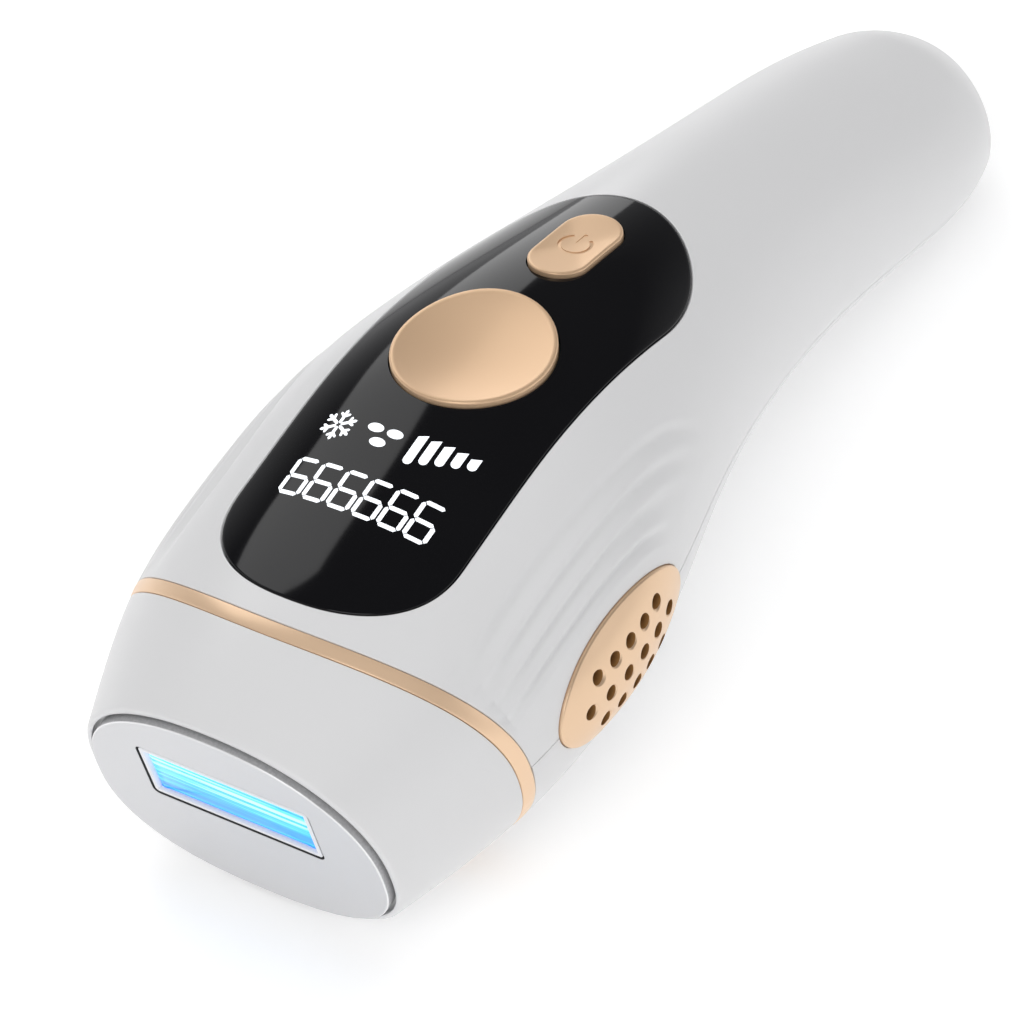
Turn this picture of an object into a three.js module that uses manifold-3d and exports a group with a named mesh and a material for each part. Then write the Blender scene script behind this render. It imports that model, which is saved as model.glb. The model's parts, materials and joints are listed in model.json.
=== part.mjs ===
// Hand-held light-pulse hair remover: flat cooled head, bent handle, display panel with two
// buttons, side vents, and the lamp, cooler, boards and capacitor that it holds inside.
// Millimetres. The device frame has y from the skin plate (0) to the tail (LENGTH), x across
// and z up towards the display. The whole device is then pitched so that it lies on its chin
// and tail, with the origin under the middle of its bounding box.

import * as THREE from 'three';
import { mergeVertices } from 'three/addons/utils/BufferGeometryUtils.js';
import Module from 'manifold-3d';

const wasm = await Module();
wasm.setup();

// ---- driving dimensions -------------------------------------------------------------------

// y, half width, crown z, widest z, belly z, seam z between the two shells
const STATIONS = [
  [0, 25.4, 20.5, 0.0, -18.0, 0.0],
  [10, 29.0, 22.4, -0.2, -20.2, 0.0],
  [23, 32.8, 23.8, -0.6, -22.4, -0.2],
  [40, 34.6, 23.8, -1.9, -24.6, -1.6],
  [61, 33.3, 23.7, -2.4, -26.4, -4.6],
  [82, 28.3, 20.3, -3.9, -28.2, -9.6],
  [105, 23.0, 12.5, -10.0, -32.5, -18.6],
  [128, 19.9, 2.5, -18.6, -39.6, -28.2],
  [152, 19.4, -9.6, -29.0, -48.4, -38.0],
  [173, 17.8, -20.7, -38.4, -56.1, -47.2],
  [192, 10.7, -31.4, -46.5, -61.6, -55.5],
];
const [WIDTH, CROWN, WIDEST, BELLY, SEAM] = [1, 2, 3, 4, 5];
const LENGTH = 192;
const TAIL_ROUND = 12.8;
const TOP_POWER = [2.2, 2.02]; // superellipse exponents at the head and at the tail
const BELLY_POWER = [2.5, 2.1];
const REST_PITCH = Math.atan(0.2253); // the device lies on its chin and its tail

const WALL = 2.0;
const GAP = 0.3;
const RIM_Y = 0.5; // front rim of the head shell
const PLATE = { front: -0.5, back: 1.5, inset: 1.2 };
const BULKHEAD = { front: 1.8, back: 3.8 };
const WINDOW = { z: 5.0, width: 29.0, height: 11.2 };
const GLASS = { width: 28.0, height: 10.4, front: 2.7, back: 4.7 };
const RING = { y: 17.4, bow: 0.0052, width: 2.2, collar: 3.4 };
const PANEL = { front: 22.9, rear: 111.6, half: 18.4, frontEnd: 15.5, rearEnd: 22, thick: 2.0,
  frontPower: 2.3, rearPower: 2.0 }; // superellipse ends in plan
const VENT = { y: 46.9, z: -2.7, long: 16.7, high: 8.9, tilt: -0.138, holeR: 0.95, proud: 1.2 };
const KEYS = { y: 69, z: 12.4 }; // key board's top face under the flash button
const FLASH = { along: 0, r: 12.0 };
const POWER = { along: 26.7, half: 4.9, straight: 4.1 };
const BUTTON = { proud: 0.8, skin: 1.6, flange: 1.2 };
const LAMP = { y: 10.5, z: 5.0, r: 2.0, half: 18 };
const COOLER = { z: -9.7, half: 10, high: 10.8, front: 1.8, back: 5.0 };
const FAN = { front: 22, back: 30, half: 17, bore: 16, z: 0.5, blades: 7 };
const SCREWS = [['left', -17.5, 68], ['right', 17.5, 68], ['rear', 0, 163]]; // x, y
const SCREW = { shank: 1.1, bore: 1.4, head: 2.3, headBore: 2.7, under: 5.5, reach: 8 };
const INLET = { y: 190.2, z: -47.0, r: 4.6, bore: 2.85, pin: 1.0 };

// ---- body shape ---------------------------------------------------------------------------

// One column of the station table at y: cubic Hermite with central-difference slopes.
function line(column, y) {
  const last = STATIONS.length - 1;
  let i = 0;
  while (i < last - 1 && STATIONS[i + 1][0] < y) i += 1;
  const slope = (k) => {
    const a = STATIONS[Math.max(k - 1, 0)];
    const b = STATIONS[Math.min(k + 1, last)];
    return (b[column] - a[column]) / (b[0] - a[0]);
  };
  const [p, q] = [STATIONS[i], STATIONS[i + 1]];
  const h = q[0] - p[0];
  const t = (y - p[0]) / h;
  return (2 * t ** 3 - 3 * t ** 2 + 1) * p[column] + (t ** 3 - 2 * t ** 2 + t) * h * slope(i)
    + (3 * t ** 2 - 2 * t ** 3) * q[column] + (t ** 3 - t ** 2) * h * slope(i + 1);
}

// The cross-section at y, pulled in by inset all round: [x, z] points, starting from +x.
function section(y, inset, around = 28) {
  const t = y / LENGTH;
  const reach = TAIL_ROUND - inset;
  const past = Math.max(y - (LENGTH - TAIL_ROUND), 0);
  const close = Math.sqrt(Math.max(1 - (past / reach) ** 2, 0));
  const mid = line(WIDEST, y);
  const points = [];
  for (let k = 0; k < around; k += 1) {
    const angle = (2 * Math.PI * k) / around;
    const [c, s] = [Math.cos(angle), Math.sin(angle)];
    const powers = s >= 0 ? TOP_POWER : BELLY_POWER;
    const n = powers[0] + (powers[1] - powers[0]) * t;
    const high = s >= 0 ? line(CROWN, y) - mid : mid - line(BELLY, y);
    points.push([
      (line(WIDTH, y) - inset) * close * Math.sign(c) * Math.abs(c) ** (2 / n),
      mid + (high - inset) * close * Math.sign(s) * Math.abs(s) ** (2 / n),
    ]);
  }
  return points;
}

const SLICES = [-1, 5, 16, 31, 50, 71, 93, 110, 128, 146, 163, 178, 185, 189.3];

// The body as one solid from y = from to y = to (or to its closed tail), pulled in by inset.
function body(inset, from = -1, to = LENGTH - inset) {
  const tail = LENGTH - inset;
  const ys = [from, ...SLICES.filter((y) => y > from + 0.5 && y < Math.min(to, tail - 0.3))];
  if (to < tail) ys.push(to);
  const rings = ys.map((y) => section(y, inset).map(([x, z]) => [x, y, z]));
  const n = rings[0].length;
  const positions = rings.flat(2);
  const index = [];
  rings.slice(1).forEach((_, i) => {
    for (let k = 0; k < n; k += 1) {
      const [a, b] = [i * n + k, i * n + ((k + 1) % n)];
      index.push(a, a + n, b, b, a + n, b + n);
    }
  });
  const front = rings.length * n;
  positions.push(0, ys[0], line(WIDEST, ys[0]), 0, Math.min(to, tail), line(WIDEST, ys.at(-1)));
  for (let k = 0; k < n; k += 1) {
    const next = (k + 1) % n;
    index.push(front, k, next, front + 1, front - n + next, front - n + k);
  }
  const geometry = new THREE.BufferGeometry();
  geometry.setAttribute('position', new THREE.Float32BufferAttribute(positions, 3));
  geometry.setIndex(index);
  return solid(geometry);
}

// ---- solids from geometry classes ---------------------------------------------------------

function solid(geometry, matrix) {
  const bare = geometry.clone();
  if (matrix) bare.applyMatrix4(matrix);
  for (const name of ['normal', 'uv']) bare.deleteAttribute(name);
  const merged = mergeVertices(bare, 1e-4);
  return new wasm.Manifold(new wasm.Mesh({
    numProp: 3,
    vertProperties: new Float32Array(merged.attributes.position.array),
    triVerts: new Uint32Array(merged.index.array),
  }));
}

const axes = (u, v, w) => new THREE.Matrix4().makeBasis(
  new THREE.Vector3(...u), new THREE.Vector3(...v), new THREE.Vector3(...w));
const at = (x, y, z) => new THREE.Matrix4().makeTranslation(x, y, z);
const KEY_FRAME = at(0, KEYS.y, KEYS.z).multiply(new THREE.Matrix4().makeRotationX(-REST_PITCH));
const INLET_FRAME = at(0, INLET.y, INLET.z)
  .multiply(new THREE.Matrix4().makeRotationX(-REST_PITCH));

const extrude = (shape, depth) => new THREE.ExtrudeGeometry(shape, {
  depth, bevelEnabled: false, curveSegments: 6 });
// A plan outline (x, y) raised along z, a front outline (x, z) along y, a side one (y, z) along x.
const plan = (shape, z0, z1) => solid(extrude(shape, z1 - z0), at(0, 0, z0));
const front = (shape, y0, y1) => solid(extrude(shape, y1 - y0),
  at(0, y1, 0).multiply(axes([1, 0, 0], [0, 0, 1], [0, -1, 0])));
const side = (shape, x0, x1) => solid(extrude(shape, x1 - x0),
  at(x0, 0, 0).multiply(axes([0, 1, 0], [0, 0, 1], [1, 0, 0])));
const block = (x0, x1, y0, y1, z0, z1, matrix = new THREE.Matrix4()) => solid(
  new THREE.BoxGeometry(x1 - x0, y1 - y0, z1 - z0),
  matrix.clone().multiply(at((x0 + x1) / 2, (y0 + y1) / 2, (z0 + z1) / 2)));

// A round rod of radius r along axis 'x', 'y' or 'z' from a to b, through the point (p, q) of
// the other two axes, in the frame of matrix.
function rod(axis, r, a, b, p, q, segments = 16, matrix = new THREE.Matrix4()) {
  const geometry = new THREE.CylinderGeometry(r, r, b - a, segments);
  const middle = (a + b) / 2;
  const place = {
    x: at(middle, p, q).multiply(new THREE.Matrix4().makeRotationZ(-Math.PI / 2)),
    y: at(p, middle, q),
    z: at(p, q, middle).multiply(new THREE.Matrix4().makeRotationX(Math.PI / 2)),
  }[axis];
  return solid(geometry, matrix.clone().multiply(place));
}

function shapeOf(points) {
  return new THREE.Shape(points.map(([u, v]) => new THREE.Vector2(u, v)));
}

// A rectangle with round corners, centred on (u, v).
function roundRect(width, height, r, u = 0, v = 0) {
  const points = [];
  [[1, 1], [-1, 1], [-1, -1], [1, -1]].forEach(([su, sv], corner) => {
    for (let k = 0; k <= 3; k += 1) {
      const angle = (corner + k / 3) * Math.PI / 2;
      points.push([u + su * (width / 2 - r) + r * Math.cos(angle),
        v + sv * (height / 2 - r) + r * Math.sin(angle)]);
    }
  });
  return shapeOf(points);
}

// The display panel's plan outline, grown by grow: straight sides and two superellipse ends.
function panelOutline(grow) {
  const half = PANEL.half + grow;
  const points = [];
  const end = (y, reach, power) => {
    for (let k = 0; k < 9; k += 1) {
      const angle = (Math.PI * k) / 9;
      const [c, s] = [Math.cos(angle), Math.sin(angle)];
      const sign = Math.sign(reach);
      points.push([sign * half * Math.sign(c) * Math.abs(c) ** (2 / power),
        y + (reach + sign * grow) * s ** (2 / power)]);
    }
  };
  end(PANEL.rear - PANEL.rearEnd, PANEL.rearEnd, PANEL.rearPower);
  end(PANEL.front + PANEL.frontEnd, -PANEL.frontEnd, PANEL.frontPower);
  return shapeOf(points);
}

// The vent's side outline, grown by grow: an ellipse that follows the bend of the handle.
function ventPoint(along, up) {
  const [c, s] = [Math.cos(VENT.tilt), Math.sin(VENT.tilt)];
  return [VENT.y + along * c - up * s, VENT.z + along * s + up * c];
}
function ventOutline(grow) {
  const points = [];
  for (let k = 0; k < 22; k += 1) {
    const angle = (2 * Math.PI * k) / 22;
    points.push(ventPoint((VENT.long + grow) * Math.cos(angle), (VENT.high + grow) * Math.sin(angle)));
  }
  return shapeOf(points);
}

// Everything ahead of the bowed plane y = offset + bow x², as seen from above.
function aheadOf(y) {
  const points = [[45, -10], [-45, -10]];
  for (let x = -45; x <= 45; x += 9) points.push([x, y + RING.bow * x * x]);
  return plan(shapeOf(points), -80, 60);
}

// Everything below the seam, moved up by lift.
function belowSeam(lift) {
  const points = [];
  for (const y of [-2, ...SLICES.slice(1), LENGTH + 5]) {
    points.push([y, line(SEAM, Math.min(y, LENGTH)) + lift]);
  }
  return side(shapeOf([[-2, -90], [LENGTH + 5, -90], ...points.reverse()]), -50, 50);
}

// ---- scene graph --------------------------------------------------------------------------

const finishes = {
  white: { color: 0xe4e4e6, roughness: 0.22, metalness: 0 },
  gold: { color: 0xd9b48c, roughness: 0.3, metalness: 0.9 },
  silver: { color: 0xc9cacc, roughness: 0.45, metalness: 0.85 },
  black: { color: 0x0a0a0b, roughness: 0.08, metalness: 0 },
  frame: { color: 0xf0f2f4, roughness: 0.35, metalness: 0 },
  glass: { color: 0x8fe6ff, roughness: 0.05, metalness: 0 },
  mirror: { color: 0xe8e8ea, roughness: 0.1, metalness: 1 },
  ceramic: { color: 0xf2efe6, roughness: 0.6, metalness: 0 },
  aluminium: { color: 0xb8babd, roughness: 0.35, metalness: 1 },
  dark: { color: 0x1c1d20, roughness: 0.5, metalness: 0 },
  board: { color: 0x1f6b3a, roughness: 0.5, metalness: 0 },
  steel: { color: 0xa9abad, roughness: 0.3, metalness: 1 },
  copper: { color: 0xb06a3a, roughness: 0.4, metalness: 0.8 },
  sleeve: { color: 0x23345c, roughness: 0.35, metalness: 0 },
};
const device = new THREE.Group();

function add(name, finish, shape) {
  const { vertProperties, triVerts } = shape.getMesh();
  const geometry = new THREE.BufferGeometry();
  geometry.setAttribute('position', new THREE.BufferAttribute(new Float32Array(vertProperties), 3));
  geometry.setIndex(new THREE.BufferAttribute(new Uint32Array(triVerts), 1));
  geometry.computeVertexNormals();
  const mesh = new THREE.Mesh(geometry,
    new THREE.MeshStandardMaterial({ ...finishes[finish], flatShading: true }));
  mesh.name = name;
  device.add(mesh);
}

// ---- outer shells and trim ----------------------------------------------------------------

const skin = body(0);
const wall = skin.subtract(body(WALL, BULKHEAD.back));
const ringFront = RING.y - RING.width / 2;
const ringBack = RING.y + RING.width / 2;

// Head shell: a rim and pocket for the skin plate, and a bulkhead that is open for the light
// and for the cooler.
const platePocket = front(shapeOf(section(0, PLATE.inset - GAP)), -5, BULKHEAD.front);
const lightWay = block(-17, 17, 0, 5, WINDOW.z - 8, WINDOW.z + 8);
const coolWay = block(-11.5, 11.5, 0, 5, -15.7, -4);
const behindRim = block(-50, 50, RIM_Y, 60, -90, 60);
const head = wall.intersect(aheadOf(ringFront - GAP)).intersect(behindRim)
  .subtract(platePocket).subtract(lightWay).subtract(coolWay);
add('head_shell', 'white', head);

// Trim ring: a plated hoop with a collar behind it that both shells slide onto.
const hoop = aheadOf(ringBack).subtract(aheadOf(ringFront)).intersect(skin)
  .subtract(body(WALL + GAP + 1.2));
const collar = aheadOf(ringBack + RING.collar).subtract(aheadOf(ringFront - RING.collar))
  .intersect(body(WALL + GAP)).subtract(body(WALL + GAP + 1.2));
add('trim_ring', 'gold', hoop.add(collar));

// Panel seat in the upper shell: a lip under the outline, then the recess down to the lip.
const lip = body(1.0).subtract(body(3.8))
  .intersect(plan(panelOutline(2), 0, 60).subtract(plan(panelOutline(-2.5), -5, 65)));
const recess = plan(panelOutline(0), 0, 60).subtract(body(PANEL.thick + GAP));
const ventHoles = side(ventOutline(GAP), 22, 60).add(side(ventOutline(GAP), -60, -22));
const inletHole = rod('y', INLET.r + GAP, -8, 12, 0, 0, 20, INLET_FRAME);
const rear = wall.subtract(aheadOf(ringBack + GAP)).subtract(ventHoles).subtract(inletHole);

// Screw posts: the lower one carries the screw's head, the upper one its thread.
const cavity = body(1.0);
const posts = (r) => SCREWS.map(([, x, y]) => rod('z', r, -80, 40, x, y, 14))
  .reduce((a, b) => a.add(b));
const threadPosts = posts(3.4).intersect(cavity).subtract(recess).subtract(belowSeam(GAP / 2));
const headPosts = posts(3.9).intersect(cavity).intersect(belowSeam(0));
const bores = (r, low, above) => SCREWS
  .map(([, x, y]) => rod('z', r, low, line(SEAM, y) + above, x, y, 12))
  .reduce((a, b) => a.add(b));
const threadBores = bores(SCREW.bore, -80, SCREW.reach + 1);
const headBores = bores(SCREW.headBore, -80, -SCREW.under);
add('upper_shell', 'white', rear.subtract(belowSeam(GAP / 2)).add(lip).subtract(recess)
  .subtract(aheadOf(ringBack + RING.collar + GAP).intersect(body(WALL)))
  .add(threadPosts).subtract(threadBores));
add('lower_shell', 'white', rear.intersect(belowSeam(-GAP / 2)).add(headPosts)
  .subtract(threadBores).subtract(headBores));
for (const [name, x, y] of SCREWS) {
  const shoulder = line(SEAM, y) - SCREW.under - GAP;
  add(`shell_screw_${name}`, 'steel', rod('z', SCREW.head, shoulder - 1.6, shoulder, x, y, 14)
    .add(rod('z', SCREW.shank, shoulder - 0.5, line(SEAM, y) + SCREW.reach, x, y, 10))
    .subtract(block(x - 1.6, x + 1.6, y - 0.35, y + 0.35, shoulder - 3, shoulder - 0.9))
    .subtract(block(x - 0.35, x + 0.35, y - 1.6, y + 1.6, shoulder - 3, shoulder - 0.9)));
}

// ---- display panel and its buttons --------------------------------------------------------

const flashRod = (grow) => rod('z', FLASH.r + grow, 1, 30, 0, FLASH.along, 24, KEY_FRAME);
const powerRod = (grow) => solid(
  extrude(roundRect(2 * (POWER.half + grow), 2 * (POWER.half + POWER.straight + grow),
    POWER.half + grow - 0.01, 0, POWER.along), 29), KEY_FRAME.clone().multiply(at(0, 0, 1)));
add('display_panel', 'black', skin.subtract(body(PANEL.thick))
  .intersect(plan(panelOutline(-GAP), 0, 60)).subtract(flashRod(GAP)).subtract(powerRod(GAP)));

// A button: a cap that stands proud of the panel, a flange that keeps it in, and a stem that
// reaches down to its switch.
const raised = body(-BUTTON.proud);
const stemLow = 5.3;
function button(name, rodOf, along) {
  const flangeIn = PANEL.thick + GAP;
  const cap = raised.subtract(body(flangeIn + 1)).intersect(rodOf(0))
    .subtract(body(BUTTON.skin).intersect(rodOf(-BUTTON.flange)));
  const flange = body(flangeIn).subtract(body(flangeIn + 1))
    .intersect(rodOf(BUTTON.flange).subtract(rodOf(-BUTTON.flange)));
  const stem = rod('z', 2.2, stemLow, 30, 0, along, 12, KEY_FRAME).intersect(body(BUTTON.skin - 0.4));
  add(name, 'gold', cap.add(flange).add(stem));
}
button('flash_button', flashRod, FLASH.along);
button('power_button', powerRod, POWER.along);

for (const [name, along] of [['flash', FLASH.along], ['power', POWER.along]]) {
  add(`${name}_switch`, 'dark', block(-3, 3, along - 3, along + 3, GAP, 3.5, KEY_FRAME)
    .subtract(rod('z', 2.0, 1.8, 5, 0, along, 12, KEY_FRAME)));
  add(`${name}_switch_plunger`, 'frame', rod('z', 1.7, 2.6, 5.0, 0, along, 12, KEY_FRAME));
}
add('key_board', 'board', block(-12.5, 12.5, -9, 36.5, -1.2, 0, KEY_FRAME));
add('display_board', 'board', block(-14, 14, 34, 57, 14.6, 15.8));
add('display_module', 'dark', block(-14.2, 14.2, 36.5, 56, 16.1, 19.1));

// ---- side vents ---------------------------------------------------------------------------

const ventRows = [[5, 4.0, 4.0], [6, 4.4, 0], [5, 4.0, -4.0]]; // count, pitch, height
const ventBores = ventRows.flatMap(([count, pitch, up]) => Array.from({ length: count },
  (_, k) => ventPoint((k - (count - 1) / 2) * pitch, up)));
for (const [name, sign] of [['left', -1], ['right', 1]]) {
  const reach = (shape) => side(shape, sign > 0 ? 22 : -60, sign > 0 ? 60 : -22);
  let grille = body(-VENT.proud).subtract(body(WALL + GAP + 0.5)).intersect(reach(ventOutline(0)))
    .add(body(WALL + GAP).subtract(body(WALL + GAP + 1)).intersect(reach(ventOutline(1.4))));
  for (const [y, z] of ventBores) {
    grille = grille.subtract(rod('x', VENT.holeR, sign > 0 ? 20 : -60, sign > 0 ? 60 : -20, y, z, 8));
  }
  add(`${name}_vent_grille`, 'gold', grille);
}

// ---- treatment head -----------------------------------------------------------------------

add('contact_plate', 'silver', front(shapeOf(section(0, PLATE.inset, 40)), PLATE.front, PLATE.back)
  .subtract(front(roundRect(WINDOW.width, WINDOW.height, 1.0, 0, WINDOW.z), -5, 5)));
const frameWidth = WINDOW.width - 2 * GAP;
const frameHeight = WINDOW.height - 2 * GAP;
add('window_frame', 'frame', front(roundRect(frameWidth, frameHeight, 0.8, 0, WINDOW.z), 0.2, 2.2)
  .add(front(roundRect(33, 15.2, 1.5, 0, WINDOW.z), BULKHEAD.front, 5.0))
  .subtract(front(roundRect(frameWidth - 3, frameHeight - 2.8, 0.6, 0, WINDOW.z), -5, 10))
  .subtract(front(roundRect(GLASS.width + 0.6, GLASS.height + 0.6, 0.8, 0, WINDOW.z),
    GLASS.front - GAP, 10)));
add('window_glass', 'glass', front(roundRect(GLASS.width, GLASS.height, 0.6, 0, WINDOW.z),
  GLASS.front, GLASS.back));

// Reflector: a parabolic trough behind the tube, open towards the glass.
function trough(mouth, apex, halfMouth) {
  const points = [];
  for (let k = -6; k <= 6; k += 1) {
    const u = k / 6;
    points.push([apex - (apex - mouth) * u * u, LAMP.z + halfMouth * u]);
  }
  return points;
}
const innerTrough = trough(5.3, 14.0, 4.7);
const outerTrough = trough(5.3, 14.6, 5.3);
add('lamp_reflector', 'mirror', side(shapeOf([...outerTrough, ...innerTrough.reverse()].reverse()),
  -13, 13));
add('lamp_holder', 'ceramic', block(-16, 16, 5.3, 17, LAMP.z - 6.8, LAMP.z + 6.8)
  .subtract(side(shapeOf([[3, LAMP.z + 5.8], [3, LAMP.z - 5.8], ...trough(5.0, 15.0, 5.8)]), -13.4, 13.4))
  .subtract(rod('x', LAMP.r + GAP, -20, 20, LAMP.y, LAMP.z, 14)));
add('flash_lamp', 'glass', rod('x', LAMP.r, -LAMP.half, LAMP.half, LAMP.y, LAMP.z, 14));
for (const [name, sign] of [['left', -1], ['right', 1]]) {
  const ends = [sign * (LAMP.half + GAP), sign * (LAMP.half + 4.3)].sort((a, b) => a - b);
  add(`lamp_cap_${name}`, 'steel', rod('x', 2.3, ...ends, LAMP.y, LAMP.z, 12));
}

add('peltier_cooler', 'ceramic', block(-COOLER.half, COOLER.half, COOLER.front, COOLER.back,
  COOLER.z - COOLER.high / 2, COOLER.z + COOLER.high / 2));
let sink = block(-12.5, 12.5, COOLER.back + GAP, 7.3, -15.4, -3.0);
for (let x = -12; x <= 12; x += 3) sink = sink.add(block(x - 0.5, x + 0.5, 7, 19, -15.4, -3.0));
add('heat_sink', 'aluminium', sink);

// ---- fan ----------------------------------------------------------------------------------

const fanMid = (FAN.front + FAN.back) / 2;
let frameOfFan = front(roundRect(2 * FAN.half, 2 * FAN.half, 3, 0, FAN.z), FAN.front, FAN.back)
  .subtract(rod('y', FAN.bore, FAN.front - 1, FAN.back + 1, 0, FAN.z, 32))
  .add(rod('y', 7, FAN.back - 1.4, FAN.back, 0, FAN.z, 18));
for (let k = 0; k < 3; k += 1) {
  const arm = at(0, 0, FAN.z).multiply(new THREE.Matrix4().makeRotationY((2 * Math.PI * k) / 3));
  frameOfFan = frameOfFan.add(block(5, FAN.bore + 0.6, FAN.back - 1.4, FAN.back, -1, 1, arm));
}
add('fan_frame', 'dark', frameOfFan.subtract(rod('y', 1.3, FAN.front, FAN.back + 1, 0, FAN.z, 12)));
let rotor = rod('y', 6.6, FAN.front + 0.4, FAN.back - 1.8, 0, FAN.z, 18)
  .add(rod('y', 1.0, fanMid, FAN.back - 0.3, 0, FAN.z, 10));
for (let k = 0; k < FAN.blades; k += 1) {
  const blade = at(0, fanMid - 0.7, FAN.z)
    .multiply(new THREE.Matrix4().makeRotationY((2 * Math.PI * k) / FAN.blades))
    .multiply(new THREE.Matrix4().makeRotationX(0.7));
  rotor = rotor.add(block(5.6, FAN.bore - 0.9, -3.0, 3.0, -0.45, 0.45, blade));
}
add('fan_rotor', 'dark', rotor);

// ---- power parts in the body and handle ---------------------------------------------------

add('main_capacitor', 'sleeve', rod('y', 11, 56, 96, 0, -11, 24));
add('trigger_transformer', 'copper', block(-7, 7, 38, 50, -20, -10));
const boardTilt = -0.384;
const boardFrame = at(0, 126.5, -18.2).multiply(new THREE.Matrix4().makeRotationX(boardTilt));
add('main_board', 'board', block(-14, 14, -28, 28, -0.8, 0.8, boardFrame));
add('power_transformer', 'copper', block(-9, 9, -18, 0, 1.1, 14, boardFrame));
add('filter_capacitor', 'sleeve', rod('z', 5, 1.1, 13, 0, 9, 18, boardFrame));

// DC inlet: a barrel with its pin, facing out of the tail.
add('dc_inlet', 'dark', rod('y', INLET.r, -9, 0, 0, 0, 20, INLET_FRAME)
  .add(block(-5, 5, -13, -7, -4.6, 4.6, INLET_FRAME))
  .subtract(rod('y', INLET.bore, -9, 1, 0, 0, 16, INLET_FRAME))
  .add(rod('y', INLET.pin, -9.5, -1.2, 0, 0, 10, INLET_FRAME)));

// ---- rest pose and origin -----------------------------------------------------------------

device.rotation.x = REST_PITCH;
device.updateMatrixWorld(true);
const bounds = new THREE.Box3().setFromObject(device, true);
device.position.set(0, -(bounds.min.y + bounds.max.y) / 2, -bounds.min.z);

export default device;
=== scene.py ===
"""Looks of a hand-held light-pulse hair remover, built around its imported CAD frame.

The sections follow the object as it is put together, from the head to the tail.
"""
import json
import math

import bmesh
import bpy
import numpy as np
from mathutils import Matrix, Vector


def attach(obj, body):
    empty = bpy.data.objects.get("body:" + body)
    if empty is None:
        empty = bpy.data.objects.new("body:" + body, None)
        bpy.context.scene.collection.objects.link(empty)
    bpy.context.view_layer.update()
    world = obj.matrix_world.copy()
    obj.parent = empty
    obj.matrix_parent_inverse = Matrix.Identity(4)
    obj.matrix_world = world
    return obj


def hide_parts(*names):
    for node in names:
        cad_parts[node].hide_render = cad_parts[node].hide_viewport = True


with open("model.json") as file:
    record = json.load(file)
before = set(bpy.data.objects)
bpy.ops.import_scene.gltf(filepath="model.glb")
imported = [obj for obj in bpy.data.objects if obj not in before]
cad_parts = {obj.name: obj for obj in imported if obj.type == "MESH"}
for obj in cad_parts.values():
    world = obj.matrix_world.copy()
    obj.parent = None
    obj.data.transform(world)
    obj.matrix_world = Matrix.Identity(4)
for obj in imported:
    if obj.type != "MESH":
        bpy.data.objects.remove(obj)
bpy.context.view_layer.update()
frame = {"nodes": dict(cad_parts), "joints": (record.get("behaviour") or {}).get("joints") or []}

# ---- Head shell -------------------------------------------------------------------------------
# The white front shell ahead of the trim ring, injection moulded with a thin front rim. The rim
# stands round the pocket that holds the skin plate, and a flange behind it carries the plate.

# It is the first of the outer pieces, which all follow one smooth form. Sizes are in the device's
# own axes, in millimetres: x across, y from the skin plate to the tail, z up through the panel.
# The fan's shaft lies along y, so its joint gives those axes in the shared frame.
FAN_ALONG, FAN_UP = 26.0, 0.5
fan_joint = next(joint for joint in frame["joints"] if joint["name"] == "fan_spin")
across = np.array([1.0, 0.0, 0.0])
along = np.array(fan_joint["axis"]) / np.linalg.norm(fan_joint["axis"])
upward = np.cross(across, along)
start = np.array(fan_joint["pos_m"]) - (FAN_ALONG * along + FAN_UP * upward) / 1000
level = np.array([0.0, along[1], -along[2]])  # the frame's +Y seen in the device's axes
plumb = np.array([0.0, along[2], along[1]])   # the frame's +Z seen in the device's axes

# The form's stations: y, half width, then the z of the crown, of the widest line, of the belly and
# of the seam between the two shells.
STATIONS = np.array([
    [0, 25.4, 20.5, 0.0, -18.0, 0.0],
    [10, 29.0, 22.4, -0.2, -20.2, 0.0],
    [23, 32.8, 23.8, -0.6, -22.4, -0.2],
    [40, 34.6, 23.8, -1.9, -24.6, -1.6],
    [61, 33.3, 23.7, -2.4, -26.4, -4.6],
    [82, 28.3, 20.3, -3.9, -28.2, -9.6],
    [105, 23.0, 12.5, -10.0, -32.5, -18.6],
    [128, 19.9, 2.5, -18.6, -39.6, -28.2],
    [152, 19.4, -9.6, -29.0, -48.4, -38.0],
    [173, 17.8, -20.7, -38.4, -56.1, -47.2],
    [192, 10.7, -31.4, -46.5, -61.6, -55.5],
])
WIDTH, CROWN, WIDEST, BELLY, SEAM = range(1, 6)
LENGTH, TAIL_ROUND = 192.0, 12.8
TAIL_START = LENGTH - TAIL_ROUND
TIP = TAIL_START + TAIL_ROUND * math.pi / 2  # travel at which the tail closes
TOP_POWER, BELLY_POWER = (2.2, 2.02), (2.5, 2.1)
WALL = 2.0


def spline_slopes():
    """Slopes at the stations of the cubic splines through them, straight at both ends. Each inner
    row says that the curvature is the same on both sides of its station."""
    step = np.diff(STATIONS[:, 0])
    rise = np.diff(STATIONS, axis=0) / step[:, None]
    count = len(STATIONS)
    system, right = np.zeros((count, count)), np.zeros_like(STATIONS)
    system[0, :2], right[0] = (2, 1), 3 * rise[0]
    system[-1, -2:], right[-1] = (1, 2), 3 * rise[-1]
    for i in range(1, count - 1):
        system[i, i - 1:i + 2] = step[i], 2 * (step[i - 1] + step[i]), step[i - 1]
        right[i] = 3 * (step[i] * rise[i - 1] + step[i - 1] * rise[i])
    return np.linalg.solve(system, right)


SLOPES = spline_slopes()


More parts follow.
